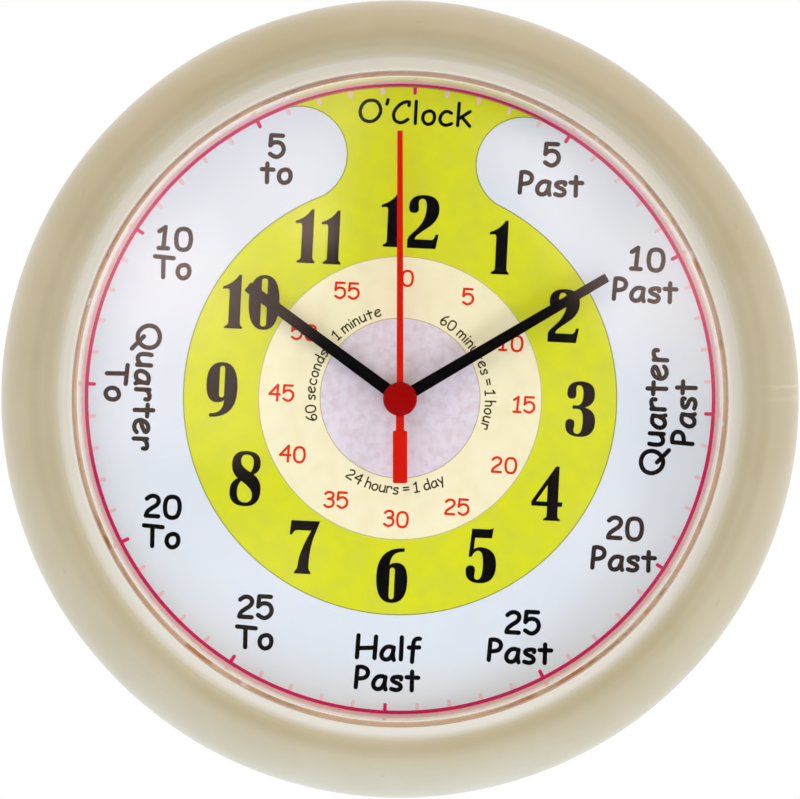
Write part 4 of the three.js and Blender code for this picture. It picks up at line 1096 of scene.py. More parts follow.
@dataclass
class Lettering:
    """Words and numbers drawn with a round pen on the dial."""

    strokes: Recipe
    level: float
    height: float = 0.035
    gap: float = 26.0
    size: float = 8.16
    pen: float = 1.68

    def line(self, text: str, gap: Optional[float] = None) -> tuple[list[Stroke], float]:
        """Sets a word's strokes side by side.

        Args:
            text: the word.
            gap: the space between its letters, if it isn't the usual one.

        Returns:
            The strokes in hundredths of the letter height, and the word's width.
        """
        gap = self.gap if gap is None else gap
        if text in STARTS:
            starts, width = STARTS[text]
        else:
            starts, width = [], 0.0
            for letter in text:
                starts.append(width)
                width += SPACE if letter == " " else PEN[letter][0] + gap
            width -= gap
        strokes = []
        for start, letter in zip(starts, text):
            for closed, points in PEN[letter][1] if letter != " " else []:
                strokes.append((closed, smooth_line([(x + start, y) for x, y in points], closed)))
        return strokes, width

    def straight(self, text: str, at: Point, turn: float = 0.0) -> list[Stroke]:
        """Places a word along a straight baseline.

        Args:
            text: the word.
            at: the middle of its baseline in the front view.
            turn: its turn clockwise in degrees.

        Returns:
            The strokes in millimetres.
        """
        strokes, width = self.line(text)
        scale = self.size / 100

        def place(x: float, y: float) -> Point:
            """Gives the place of one point."""
            right, up = turned(((x - width / 2) * scale, y * scale), math.radians(turn))
            return at[0] + right, at[1] + up

        return [(closed, [place(x, y) for x, y in points]) for closed, points in strokes]

    def curved(self, text: str, radius: float, middle: float, span: float,
               inwards: bool = False) -> list[Stroke]:
        """Places a line of words along an arc about the axis.

        Args:
            text: the words.
            radius: radius of the letters' mid height.
            middle: angle of the line's middle, clockwise from the top in degrees.
            span: angle that the line fills, by which its letters are spaced.
            inwards: whether the letters' tops point to the axis, and the line runs anticlockwise.

        Returns:
            The strokes in millimetres.
        """
        scale = self.size / 100
        gaps = len(text.replace(" ", "")) - 1
        gap = (math.radians(span) * radius / scale - self.line(text, 0.0)[1]) / gaps
        strokes, width = self.line(text, gap)
        sign = -1 if inwards else 1

        def place(x: float, y: float) -> Point:
            """Gives the place of one point."""
            reach = radius + sign * (y - MID_HEIGHT) * scale
            return turned((0.0, reach), math.radians(middle) + sign * (x - width / 2) * scale / radius)

        return [(closed, [place(x, y) for x, y in points]) for closed, points in strokes]

    def ink(self, name: str, strokes: Sequence[Stroke], finish: Finish,
            pen: Optional[float] = None) -> bpy.types.Object:
        """Draws strokes as one piece.

        Args:
            name: the piece's name.
            strokes: the strokes in millimetres.
            finish: the ink.
            pen: the stroke's width, if it isn't the usual one.

        Returns:
            The new object.
        """
        mesh = bpy.data.meshes.new(name)
        places: list[Vector] = []
        edges: list[tuple[int, int]] = []
        for closed, points in strokes:
            start = len(places)
            places.extend(spot(x, y, self.level) for x, y in points)
            edges.extend((start + i, start + i + 1) for i in range(len(points) - 1))
            if closed:
                edges.append((start + len(points) - 1, start))
        mesh.from_pydata(places, edges, [])
        drawn = self.strokes.run(mesh, finish, Width=(pen or self.pen) * MM, Height=self.height * MM,
                                 Level=WALL - self.level * MM)
        return place_piece(drawn, name, finish, crease=60)


@dataclass
class Case:
    """The rim, the lens that is glued in it, and the bosses for the plate's screws."""

    crest_radius: float = 130.5
    crest_depth: float = 46.0
    widest_depth: float = 14.0
    roll_width: float = 18.36
    skin: float = 2.5
    side_skin: float = 2.0
    shelf_depth: float = 41.6
    inner_roll: float = 6.2
    ledge_depth: float = 39.1
    lens_radius: float = 119.45
    lens_back: float = 39.5
    lens_front: float = 41.5
    glue_inner: float = 118.05
    glue_outer: float = 119.58
    boss_circle: float = 133.0
    bosses: int = 6
    segments: int = 288
    # Radii and depths: the rim's foot on the wall, the way from the inner roll down to the dial and back up
    # behind the well's wall, and the foot's inside
    foot: tuple[Point, ...] = ((149.6, 0.0), (149.85, 0.25), (150.0, 2.5), (149.97, 5.0), (149.76, 8.0),
                               (149.38, 11.0))
    well: tuple[Point, ...] = (
        (124.47, 42.55), (124.2, 42.12), (123.8, 41.82), (123.2, 41.67), (122.6, 41.62), (121.9, 41.68),
        (121.2, 41.78), (120.6, 41.84), (120.1, 41.83), (119.8, 41.74), (119.6, 41.55), (119.6, 39.1),
        (117.85, 39.1), (117.6, 39.02), (117.52, 38.8), (117.3, 31.0), (117.05, 23.7), (120.3, 23.7),
        (120.3, 36.2), (120.5, 36.6), (123.0, 36.6), (126.8, 39.1))
    foot_inside: tuple[Point, ...] = ((146.6, 0.25), (146.8, 0.0))
    # Radius and depth of a boss with the blind hole for its screw
    boss_end: tuple[Point, ...] = ((3.8, 36.0), (3.8, 24.1), (3.4, 23.7), (1.75, 23.7), (1.6, 23.9),
                                   (1.6, 34.5), (0.0, 34.5))
    # Where the two fins of a boss start and end, and their depths
    fins: tuple[tuple[float, float, float, float], ...] = ((129.4, 122.2, 25.0, 38.0),
                                                           (136.6, 143.0, 24.2, 36.0))
    fin_half: float = 0.6

    def rim(self, ring: Recipe) -> None:
        """Builds the rim with its bosses.

        Args:
            ring: the tree that repeats a form.
        """
        crest = self.crest_radius
        tall = self.crest_depth - self.widest_depth
        low = self.crest_depth - self.shelf_depth
        outer = ellipse(crest, self.widest_depth, self.roll_width, tall, 0, 90, 22)
        inner = ellipse(crest, self.shelf_depth, self.inner_roll, low, 90, 160, 12)
        under = ellipse(crest, self.widest_depth, self.roll_width - self.side_skin, tall - self.skin,
                        90, 0, 14)
        profile = [*self.foot, *outer, *inner[1:], *self.well, *under, *self.foot_inside]
        Blank().turn(profile, self.segments).piece("rim_shell", CASE, replaces=["case_rim"], crease=40)
        top = self.crest_depth - self.skin + 0.4
        boss = Blank().turn([(0.0, top), (self.boss_end[0][0] + 0.5, top), *self.boss_end], 32,
                            (0.0, self.boss_circle))
        half = self.fin_half
        for near, far, back, front in self.fins:
            boss.lift([[(-half, near), (half, near), (half, far), (-half, far)]], back, front)
        place_piece(in_ring(ring, boss, CASE, self.bosses), "rim_bosses", CASE)

    def lens(self) -> None:
        """Builds the lens and the glue under and round it."""
        edge, back, front = self.lens_radius, self.lens_back, self.lens_front
        profile = [(0.0, back), (edge - 1.0, back), (edge - 0.3, back), (edge, back + 0.3),
                   (edge, front - 0.35), (edge - 0.1, front - 0.1), (edge - 0.35, front),
                   (edge - 1.0, front), (0.0, front)]
        lens = Blank().turn(profile, self.segments).piece("lens_disc", LENS, replaces=["lens"])
        lens.visible_shadow = False
        inner, outer = self.glue_inner, self.glue_outer
        glue = [(inner, self.ledge_depth), (outer, self.ledge_depth), (outer, front - 0.1),
                (outer - 0.06, front), (edge + 0.02, front - 0.1), (edge + 0.02, back), (inner + 0.1, back),
                (inner - 0.03, self.ledge_depth + 0.2)]
        Blank().turn(glue, self.segments).piece("lens_glue", BOND, replaces=["lens_seal"])


@dataclass
class Plate:
    """The ribbed plate behind the dial, with the screws that hold it to the rim."""

    radius: float = 145.6
    back: float = 21.5
    front: float = 23.7
    bore: float = 4.15
    rib_height: float = 3.0
    rib_width: float = 1.6
    inner_ring: float = 67.7
    outer_ring: float = 125.0
    ribs: int = 8
    first_rib: float = 30.0
    screws: int = 6
    screw_circle: float = 133.0
    head_radius: float = 3.0
    head_height: float = 1.8
    shank_radius: float = 1.5
    length: float = 10.0

    def plate(self, ring: Recipe) -> None:
        """Builds the plate and its ribs.

        Args:
            ring: the tree that repeats a form.
        """
        half = self.rib_width / 2
        low = self.back - self.rib_height
        profile: list[Point] = [(self.bore, self.back)]
        for middle in (self.inner_ring, self.outer_ring):
            profile += [(middle - half - 0.35, self.back), (middle - half, self.back - 0.35),
                        (middle - half + 0.2, low + 0.12), (middle - half + 0.35, low),
                        (middle + half - 0.35, low), (middle + half - 0.2, low + 0.12),
                        (middle + half, self.back - 0.35), (middle + half + 0.35, self.back)]
        profile += [(self.radius - 0.3, self.back), (self.radius, self.back + 0.3),
                    (self.radius, self.front - 0.2), (self.radius - 0.2, self.front),
                    (self.bore, self.front)]
        Blank().turn(profile, 256).piece("plate_disc", PLATE, replaces=["dial_plate"])
        rib = Blank().lift([[(-half, self.inner_ring), (half, self.inner_ring), (half, self.outer_ring),
                             (-half, self.outer_ring)]], low + 0.02, self.back + 0.3).soften(0.3)
        ribs = in_ring(ring, rib, PLATE, self.ribs, math.radians(self.first_rib))
        place_piece(ribs, "plate_ribs", PLATE)

    def fasteners(self, ring: Recipe) -> None:
        """Builds the screws.

        Args:
            ring: the tree that repeats a form.
        """
        at = (0.0, self.screw_circle)
        top = self.back - self.head_height
        arm = ((-0.35, 1.55), (0.35, 1.55), (0.35, 0.35))
        cross = [turned(point, quarter * math.pi / 2) for quarter in range(4) for point in arm]
        crown = Blank().lift([circle(self.head_radius - 0.25, 32, at), [(x, y + at[1]) for x, y in cross]],
                             top, top + 0.9)
        crown.turn([(0.0, top + 0.85), (self.head_radius - 0.25, top + 0.06), (self.head_radius, top + 0.5),
                    (self.head_radius, self.back - 0.1), (self.head_radius - 0.1, self.back),
                    (self.shank_radius, self.back), (self.shank_radius, self.back + self.length - 1.2),
                    (0.0, self.back + self.length)], 32, at)
        place_piece(in_ring(ring, crown, STEEL, self.screws), "plate_screws", STEEL,
                    replaces=[f"plate_screw_{i + 1}" for i in range(self.screws)])


@dataclass
class Dial:
    """The printed sheet: colour rings, ticks, figures and words."""

    back: float = 23.7
    front: float = 24.0
    radius: float = 117.02
    bore: float = 4.15
    centre: float = 80 / PRINT_SCALE
    cream: float = 141.5 / PRINT_SCALE
    lime: float = 216.6 / PRINT_SCALE
    slot_middle: float = 264 / PRINT_SCALE
    slot_half: float = 48 / PRINT_SCALE
    slot_angle: float = 25.2
    ring_inner: float = 311.7 / PRINT_SCALE
    ring_outer: float = 315.2 / PRINT_SCALE
    tick_inner: float = 304.4 / PRINT_SCALE
    tick_width: float = 1.35
    figure_height: float = 20.04
    print_up: float = 0.3
    # How far the inks reach into the sheet, and how far they stand out of it
    foot: float = 0.01
    band_top: float = 0.02
    ring_top: float = 0.03
    tick_top: float = 0.025
    figure_top: float = 0.045
    words: list[tuple[str, Point, float]] = field(default_factory=lambda: [
        ("O'Clock", (0.4, 102.1), 0), ("5", (51.9, 89.0), 0), ("Past", (52.1, 78.4), 0),
        ("10", (89.2, 52.2), 0), ("Past", (88.9, 40.7), 0), ("Quarter", (98.3, -0.4), -90),
        ("Past", (109.2, -0.2), -90), ("20", (85.8, -47.9), 0), ("Past", (85.8, -59.3), 0),
        ("25", (49.6, -84.8), 0), ("Past", (49.1, -95.4), 0), ("Half", (0.2, -96.8), 0),
        ("Past", (0.3, -107.9), 0), ("25", (-49.7, -83.9), 0), ("To", (-49.8, -95.1), 0),
        ("20", (-85.9, -48.2), 0), ("To", (-86.1, -59.3), 0), ("Quarter", (-98.0, -0.5), 90),
        ("To", (-109.1, 0.8), 90), ("10", (-86.3, 51.3), 0), ("To", (-86.9, 40.6), 0),
        ("5", (-50.2, 87.2), 0), ("to", (-50.0, 77.8), 0),
    ])
    minutes: dict[str, Point] = field(default_factory=lambda: {
        "0": (0.6, 44.6), "5": (23.4, 38.7), "10": (40.1, 22.4), "15": (46.1, -0.3), "20": (39.8, -22.9),
        "25": (23.1, -39.4), "30": (0.7, -44.9), "35": (-21.9, -39.0), "40": (-39.0, -22.7),
        "45": (-44.2, -0.3), "50": (-36.8, 22.7), "55": (-21.6, 38.7),
    })
    note_radius: float = 33.4
    # Each note with the angle of its middle, the angle that it fills, and whether it reads inwards
    notes: tuple[tuple[str, float, float, bool], ...] = (
        ("60 minutes = 1 hour", 65.8, 81.7, False), ("60 seconds = 1 minute", 298.9, 91.0, False),
        ("24 hours = 1 day", 180.5, 63.2, True))

    def lime_edge(self) -> list[Point]:
        """Gives the lime ring's outer edge, with the neck at the top that reaches the crimson ring.

        Returns:
            The loop, in millimetres of the front view.
        """
        angle = math.radians(self.slot_angle)
        step = math.pi / 20
        left, right = ((x, y + self.print_up)
                       for x, y in (turned((0.0, self.slot_middle), side * angle) for side in (-1, 1)))
        return (arc(self.lime, angle, TAU - angle, 160, (0.0, self.print_up))
                + arc(self.slot_half, math.pi - angle - step, step - angle, 18, left)
                + arc(self.ring_inner + 0.2, -angle, angle, 24)
                + arc(self.slot_half, angle - step, angle - math.pi + step, 18, right))

    def band(self, name: str, inner: float, outer: float, height: float, finish: Finish,
             up: float = 0.0) -> None:
        """Builds one flat ring of ink.

        Args:
            name: the piece's name.
            inner: its inner radius.
            outer: its outer radius.
            height: how far it stands out of the sheet.
            finish: the ink.
            up: how far its middle is above the hands' axis.
        """
        foot, top = self.front - self.foot, self.front + height
        Blank().turn([(inner, foot), (outer, foot), (outer, top), (inner, top)], 256,
                     (0.0, up)).piece(name, finish)

    def sheet(self) -> None:
        """Builds the sheet and its colour rings."""
        Blank().turn([(self.bore, self.back), (self.radius, self.back), (self.radius, self.front - 0.03),
                      (self.radius - 0.03, self.front), (self.bore, self.front)],
                     256).piece("dial_sheet", PAPER, replaces=["dial_print"])
        lime = Blank().lift([self.lime_edge(), circle(self.cream, 192, (0.0, self.print_up))],
                            self.front - self.foot, self.front + self.band_top)
        lime.piece("ink_lime_ring", LIME)
        self.band("ink_cream_ring", self.centre, self.cream, self.band_top, CREAM, self.print_up)
        self.band("ink_centre_disc", self.bore + self.print_up, self.centre, self.band_top, LILAC,
                  self.print_up)
        self.band("ink_crimson_ring", self.ring_inner, self.ring_outer, self.ring_top, CRIMSON)

    def edges(self, strokes: Recipe) -> None:
        """Draws the thin lines round the colour rings.

        Args:
            strokes: the tree that draws strokes.
        """
        fine = Lettering(strokes, self.front + 0.018, height=0.02)
        fine.ink("ink_lime_edge", [(True, self.lime_edge())], OLIVE_LINE, 0.42)
        fine.ink("ink_cream_edges", [(True, circle(reach, 192, (0.0, self.print_up)))
                                      for reach in (self.cream, self.centre)],
                 SAND_LINE, 0.34)

    def ticks(self, ring: Recipe) -> None:
        """Builds the minute ticks, of which every fifth is crimson.

        Args:
            ring: the tree that repeats a form.
        """
        half = self.tick_width / 2
        root = self.ring_inner + 0.05
        end = arc(half, math.pi / 2, math.pi * 3 / 2, 8, (0.0, self.tick_inner + half))
        shape = [(half, root), *end, (-half, root)]
        for name, finish, count, skip in (("ticks_five", CRIMSON, 12, SKIP_NONE),
                                          ("ticks_one", ROSE, 60, 5)):
            tick = Blank().lift([shape], self.front - self.foot, self.front + self.tick_top)
            place_piece(in_ring(ring, tick, finish, count, TAU / count, skip), name, finish)

    def figures(self) -> None:
        """Builds the hour figures."""
        scale = self.figure_height / 100
        for hour, middle in HOURS.items():
            loops: list[list[Point]] = []
            for index, letter in enumerate(hour):
                shift = SECOND_FIGURE[hour] if index else 0.0
                if letter in "69":
                    own = outline(FIGURES["6"]) + [pill(24.5, 34.0, 7.0, 65.5)]
                else:
                    own = outline(FIGURES[letter])
                if letter == "9":
                    own = [[(58 - x, 102.5 - y) for x, y in loop] for loop in own]
                loops.append([[(x + shift, y) for x, y in loop] for loop in own])
            points = [point for own in loops for loop in own for point in loop]
            centre = [(min(point[k] for point in points) + max(point[k] for point in points)) / 2
                      for k in range(2)]
            blank = Blank()
            for own in loops:
                placed = [[(middle[0] + (x - centre[0]) * scale,
                            middle[1] + (y - centre[1]) * scale + self.print_up) for x, y in loop]
                          for loop in own]
                blank.lift(placed, self.front - self.foot, self.front + self.figure_top)
            blank.piece(f"figure_{hour}", BLACK_INK)

    def lettering(self, strokes: Recipe) -> None:
        """Draws the words, the minute numbers and the notes.

        Args:
            strokes: the tree that draws strokes.
        """
        pen = Lettering(strokes, self.front)
        words: list[Stroke] = []
        for text, at, turn in self.words:
            words += pen.straight(text, (at[0], at[1] + self.print_up), turn)
        pen.ink("ink_words", words, BLACK_INK)
        small = Lettering(strokes, self.front + self.band_top, height=0.03, gap=24.0, size=5.8, pen=0.94)
        numbers: list[Stroke] = []
        drop = 46.0 * small.size / 100 - self.print_up
        for text, at in self.minutes.items():
            numbers += small.straight(text, (at[0], at[1] - drop))
        small.ink("ink_minutes", numbers, ORANGE_INK)
        bent = Lettering(strokes, self.front + self.band_top, height=0.03, size=3.8, pen=0.6)
        notes: list[Stroke] = []
        for text, middle, span, inwards in self.notes:
            notes += bent.curved(text, self.note_radius, middle, span, inwards)
        bent.ink("ink_notes", notes, NOTE_INK)


@dataclass(frozen=True)
class Hand:
    """One hand: a tapered bar with a hub, and a tail where it has one."""

    name: str
    body: str
    finish: Finish
    angle: float
    back: float
    length: float
    root: float
    tip: float
    hub: float
    bore: float
    thickness: float = 0.6
    neck: float = 0.0
    neck_end: float = 11.7
    weight: float = 5.3
    weight_end: float = 31.0

    def shape(self) -> list[Point]:
        """Gives the hand's outline, pointing up.

        Returns:
            The loop, in millimetres of the front view.
        """
        half = self.root / 2
        top = math.sqrt(self.hub ** 2 - half ** 2)
        tip = self.tip / 2
        end = self.length
        right = [(half, top), (tip, end - 0.24), (tip - 0.07, end - 0.07), (tip - 0.24, end)]
        left = [(-x, y) for x, y in right[::-1]]
        start = math.atan2(half, top)
        if not self.neck:
            return right + left + arc(self.hub, -start, start - TAU, 40)[1:-1]
        side = arc(self.hub, start, math.pi - math.asin(self.neck / 2 / self.hub), 16)[1:]
        neck, weight = self.neck / 2, self.weight / 2
        tail = [(neck, -self.neck_end + 0.3), (neck + 0.3, -self.neck_end),
                (weight - 0.3, -self.neck_end), (weight, -self.neck_end - 0.3),
                (weight, -self.weight_end + 0.5), (weight - 0.5, -self.weight_end)]
        back = side + tail
        return right + left + [(-x, y) for x, y in back] + back[::-1]

    def build(self) -> None:
        """Builds the hand at the angle that it shows at rest."""
        turn = math.radians(self.angle)
        loops = [[turned(point, turn) for point in loop]
                 for loop in (self.shape(), circle(self.bore, 48))]
        blank = Blank().lift(loops, self.back, self.back + self.thickness).soften(0.11, 2)
        blank.piece(self.name + "_blade", self.finish, self.body, [self.name])


@dataclass
class Hands:
    """The three hands and what holds them on their tubes."""

    hour: Hand = Hand("hour_hand", "hours", HAND_BLACK, 303.6, 28.1, 70.0, 4.6, 3.9, 4.8, 2.62)
    minute: Hand = Hand("minute_hand", "minutes", HAND_BLACK, 56.8, 29.6, 88.5, 4.5, 3.4, 4.2, 1.72)
    second: Hand = Hand("second_hand", "seconds", HAND_RED, -2.8, 32.0, 98.7, 2.5, 2.0, 4.4, 1.15, neck=3.0)
    cap_radius: float = 6.25
    cap_back: float = 32.6
    cap_edge: float = 33.5
    cap_front: float = 35.2
    cap_bore: float = 1.2
    cap_inside: float = 33.3

    def build(self) -> None:
        """Builds the hands, the cap and the minute hand's nut."""
        for hand in (self.hour, self.minute, self.second):
            hand.build()
        wide, bore, back, edge = self.cap_radius, self.cap_bore, self.cap_back, self.cap_edge
        dome = ellipse(0.0, edge, wide, self.cap_front - edge, 0, 90, 12)
        cap = [(bore, back), (wide - 0.2, back), (wide, back + 0.2), *dome[:-1], (0.0, self.cap_front),
               (0.0, self.cap_inside), (bore, self.cap_inside)]
        Blank().turn(cap, 96).piece("cap_dome", CAP_RED, "seconds", ["second_hand_cap"], 50)
        nut = [(1.75, 30.2), (2.65, 30.2), (2.8, 30.35), (2.8, 31.1), (2.6, 31.3), (1.9, 31.3),
               (1.75, 31.15)]
        Blank().turn(nut, 64).piece("minute_nut_ring", BRASS, "minutes", ["minute_nut"])


def refined(node: str, name: str, finish: Finish, body: str, bevel: float, crease: float = 30.0) -> None:
    """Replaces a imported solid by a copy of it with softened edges.

    Args:
        node: the solid's name.
        name: the new piece's name.
        finish: what it is made of.
        body: the body that it moves with.
        bevel: width of the softened edges in millimetres.
        crease: the angle in degrees past which an edge stays sharp.
    """
    blank = Blank()
    blank.mesh.from_mesh(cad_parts[node].data)
    bmesh.ops.remove_doubles(blank.mesh, verts=blank.mesh.verts, dist=2e-6)
    bmesh.ops.dissolve_limit(blank.mesh, angle_limit=math.radians(1.0), verts=blank.mesh.verts,
                             edges=blank.mesh.edges)
    blank.soften(bevel, 2, 40.0)
    blank.piece(name, finish, body, [node], crease)


@dataclass
class Movement:
    """The quartz movement behind the plate: its box, hanger, knob, cell, coil and train."""

    cell_radius: float = 7.25
    cell_half: float = 25.25
    cell_up: float = -18.87
    cell_depth: float = 10.95
    nub_radius: float = 2.75
    nub_length: float = 1.3
    clamp_bore: float = 4.15
    arrow_radius: float = 7.4
    arrow_half: float = 70.0
    sign_across: float = 21.5
    wire: float = 0.32

    def box(self) -> None:
        """Builds the housing, its cover, the hanger and the fasteners on the bushing."""
        for node, name, finish, body, bevel in (
                ("movement_housing", "movement_tray", BLACK_PLASTIC, "case", 0.14),
                ("movement_cover", "movement_lid", BLACK_PLASTIC, "case", 0.14),
                ("hanger_bracket", "hanger_strip", STEEL, "case", 0.16),
                ("setting_knob", "knob_wheel", GREY_PLASTIC, "knob", 0.08),
                ("positive_contact", "contact_plus", BRASS, "case", 0.08),
                ("negative_contact", "contact_minus", BRASS, "case", 0.08),
                ("coil_bobbin", "bobbin_frame", BOBBIN_PLASTIC, "case", 0.06)):
            refined(node, name, finish, body, bevel)
        bore = self.clamp_bore
        gasket = [(bore, 20.7), (8.8, 20.7), (9.0, 20.85), (9.0, 21.35), (8.8, 21.5), (bore, 21.5)]
        washer = [(bore, 24.03), (6.0, 24.03), (6.1, 24.1), (6.1, 24.5), (6.0, 24.6), (bore, 24.6)]
        Blank().turn(gasket, 96).piece("gasket_ring", RUBBER, replaces=["rubber_gasket"])
        Blank().turn(washer, 96).piece("washer_ring", BRASS, replaces=["brass_washer"])
        nut = Blank().lift([circle(6.1, 6), circle(4.08, 48)], 24.6, 26.8).soften(0.25)
        nut.piece("bushing_nut", BRASS, replaces=["hex_nut"])

    def cell(self) -> None:
        """Builds the dry cell: a sleeve on a steel can, with a rolled shoulder and a nub."""
        side, half, nub = self.cell_radius, self.cell_half, self.nub_radius
        end = half - self.nub_length
        can = [(0.0, -half), (nub + 1.6, -half), (nub + 1.9, -half + 0.25), (side - 0.9, -half + 0.25),
               (side - 0.35, -half + 0.5), (side - 0.2, -half + 1.0), (side - 0.2, end - 1.3),
               (side - 0.6, end - 0.7), (side - 1.4, end - 0.35), (nub + 0.6, end - 0.35),
               (nub + 0.15, end - 0.1), (nub, end + 0.2), (nub, half - 0.25), (nub - 0.25, half),
               (0.0, half)]
        sleeve = [(side - 0.25, -half + 0.75), (side - 0.05, -half + 0.55), (side, -half + 0.9),
                  (side, end - 1.2), (side - 0.3, end - 0.75), (side - 0.75, end - 0.6),
                  (side - 0.8, end - 0.8)]
        band = [(side - 0.1, end - 9.5), (side + 0.02, end - 9.5), (side + 0.02, end - 2.2),
                (side - 0.1, end - 2.2)]
        for name, profile, finish, gone in (("cell_can", can, STEEL, []),
                                            ("cell_sleeve", sleeve, JACKET, ["battery_cell"]),
                                            ("cell_band", band, JACKET_BAND, [])):
            blank = Blank().turn(profile, 64)
            for vert in blank.mesh.verts:
                right, up, along = vert.co.x / MM, vert.co.z / MM, (WALL - vert.co.y) / MM
                vert.co = spot(along, self.cell_up + up, self.cell_depth + right)
            blank.piece(name, finish, replaces=gone)

    def marks(self, strokes: Recipe) -> None:
        """Marks the turning arrow round the knob, and the cell's plus and minus, on the lid.

        Args:
            strokes: the tree that draws strokes.
        """
        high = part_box("movement_cover")[1] / MM
        knob_low, knob_high = (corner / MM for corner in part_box("setting_knob"))
        knob = ((knob_low.x + knob_high.x) / 2, (knob_low.z + knob_high.z) / 2)
        middle = self.cell_up + self.cell_radius + 5.2
        half = math.radians(self.arrow_half)
        sweep = arc(self.arrow_radius, -half, half, 24, knob)
        lines: list[Stroke] = [(False, sweep)]
        for tip, before in ((sweep[0], sweep[1]), (sweep[-1], sweep[-2])):
            back = Vector((before[0] - tip[0], before[1] - tip[1])).normalized() * 2.0
            for turn in (-35.0, 35.0):
                barb = turned(tuple(back), math.radians(turn))
                lines.append((False, [tip, (tip[0] + barb[0], tip[1] + barb[1])]))
        for across in (-self.sign_across, self.sign_across):
            lines.append((False, [(across - 1.5, middle), (across + 1.5, middle)]))
        lines.append((False, [(self.sign_across, middle - 1.5), (self.sign_across, middle + 1.5)]))
        pen = Lettering(strokes, WALL / MM - high.y, height=0.12)
        pen.ink("lid_marks", lines, MARKING, 0.7)

    def coil(self) -> None:
        """Builds the coil's wire, turn by turn."""
        low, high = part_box("coil_winding")
        wire = self.wire * MM
        half_x = (high.x - low.x) / 2 - wire / 2
        half_y = (high.y - low.y) / 2 - wire / 2
        middle = (low + high) / 2
        corner = min(half_x, half_y) * 0.35
        loop = []
        for number, (side_x, side_y) in enumerate(((1, 1), (-1, 1), (-1, -1), (1, -1))):
            for i in range(5):
                angle = math.pi / 2 * (number + i / 4)
                loop.append(Vector((middle.x + side_x * (half_x - corner) + corner * math.cos(angle),
                                    middle.y + side_y * (half_y - corner) + corner * math.sin(angle),
                                    low.z + wire / 2)))
        mesh = bpy.data.meshes.new("turn")
        mesh.from_pydata(loop, [(i, (i + 1) % len(loop)) for i in range(len(loop))], [])
        recipe = Recipe("coil turns", {"Wire": "NodeSocketFloat", "Turns": "NodeSocketInt"})
        turn = recipe.pipe(recipe.math("MULTIPLY", recipe.given("Wire"), 0.52), 6)[1]
        step = recipe.out("ShaderNodeCombineXYZ", values={"Z": recipe.given("Wire")})
        stack = recipe.out("GeometryNodeMeshLine", values={"Count": recipe.given("Turns"), "Offset": step})
        wound = recipe.out("GeometryNodeInstanceOnPoints", values={"Points": stack, "Instance": turn})
        recipe.close(wound)
        count = int((high.z - low.z) / wire)
        place_piece(recipe.run(mesh, COPPER, Wire=wire, Turns=count), "coil_turns", COPPER,
                    replaces=["coil_winding"], crease=80)

    def dress(self) -> None:
        """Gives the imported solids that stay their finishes."""
        finishes = {
            GEAR_PLASTIC: ("rotor_pinion", "intermediate_wheel", "second_wheel", "third_wheel",
                           "centre_wheel", "minute_wheel", "hour_wheel", "train_plate"),
            STEEL: ("stator", "coil_core", "crystal_can", "board_screw_1", "board_screw_2"),
            BRASS: ("minute_shaft", "hour_hand_collet", "second_hand_pipe"),
            MAGNET: ("rotor_magnet",),
            BLACK_PLASTIC: ("chip_cover",),
            BOARD: ("circuit_board",),
        }
        for finish, nodes in finishes.items():
            for node in nodes:
                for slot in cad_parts[node].material_slots:
                    slot.material = finish.material()
                log.info("%s keeps its solid, in %s", node, finish.name)


@dataclass(frozen=True)
class Lamp:
    """A square soft lamp that looks at a point, as a rule at the clock's middle."""

    name: str
    place: tuple[float, float, float]
    size: float
    power: float
    colour: Colour
    aim: tuple[float, float, float] = (0.0, 0.0, 0.0)

    def hang(self) -> None:
        """Hangs the lamp, unseen by the camera and in mirrors."""
        light = bpy.data.lights.new(self.name, "AREA")
        light.size = self.size
        light.energy = self.power
        light.color = tone(self.colour)[:3]
        lamp = bpy.data.objects.new(self.name, light)
        lamp.location = self.place
        lamp.rotation_euler = (Vector(self.aim) - Vector(self.place)).to_track_quat("-Z", "Y").to_euler()
        lamp.visible_glossy = False
        lamp.visible_camera = False
        bpy.context.scene.collection.objects.link(lamp)


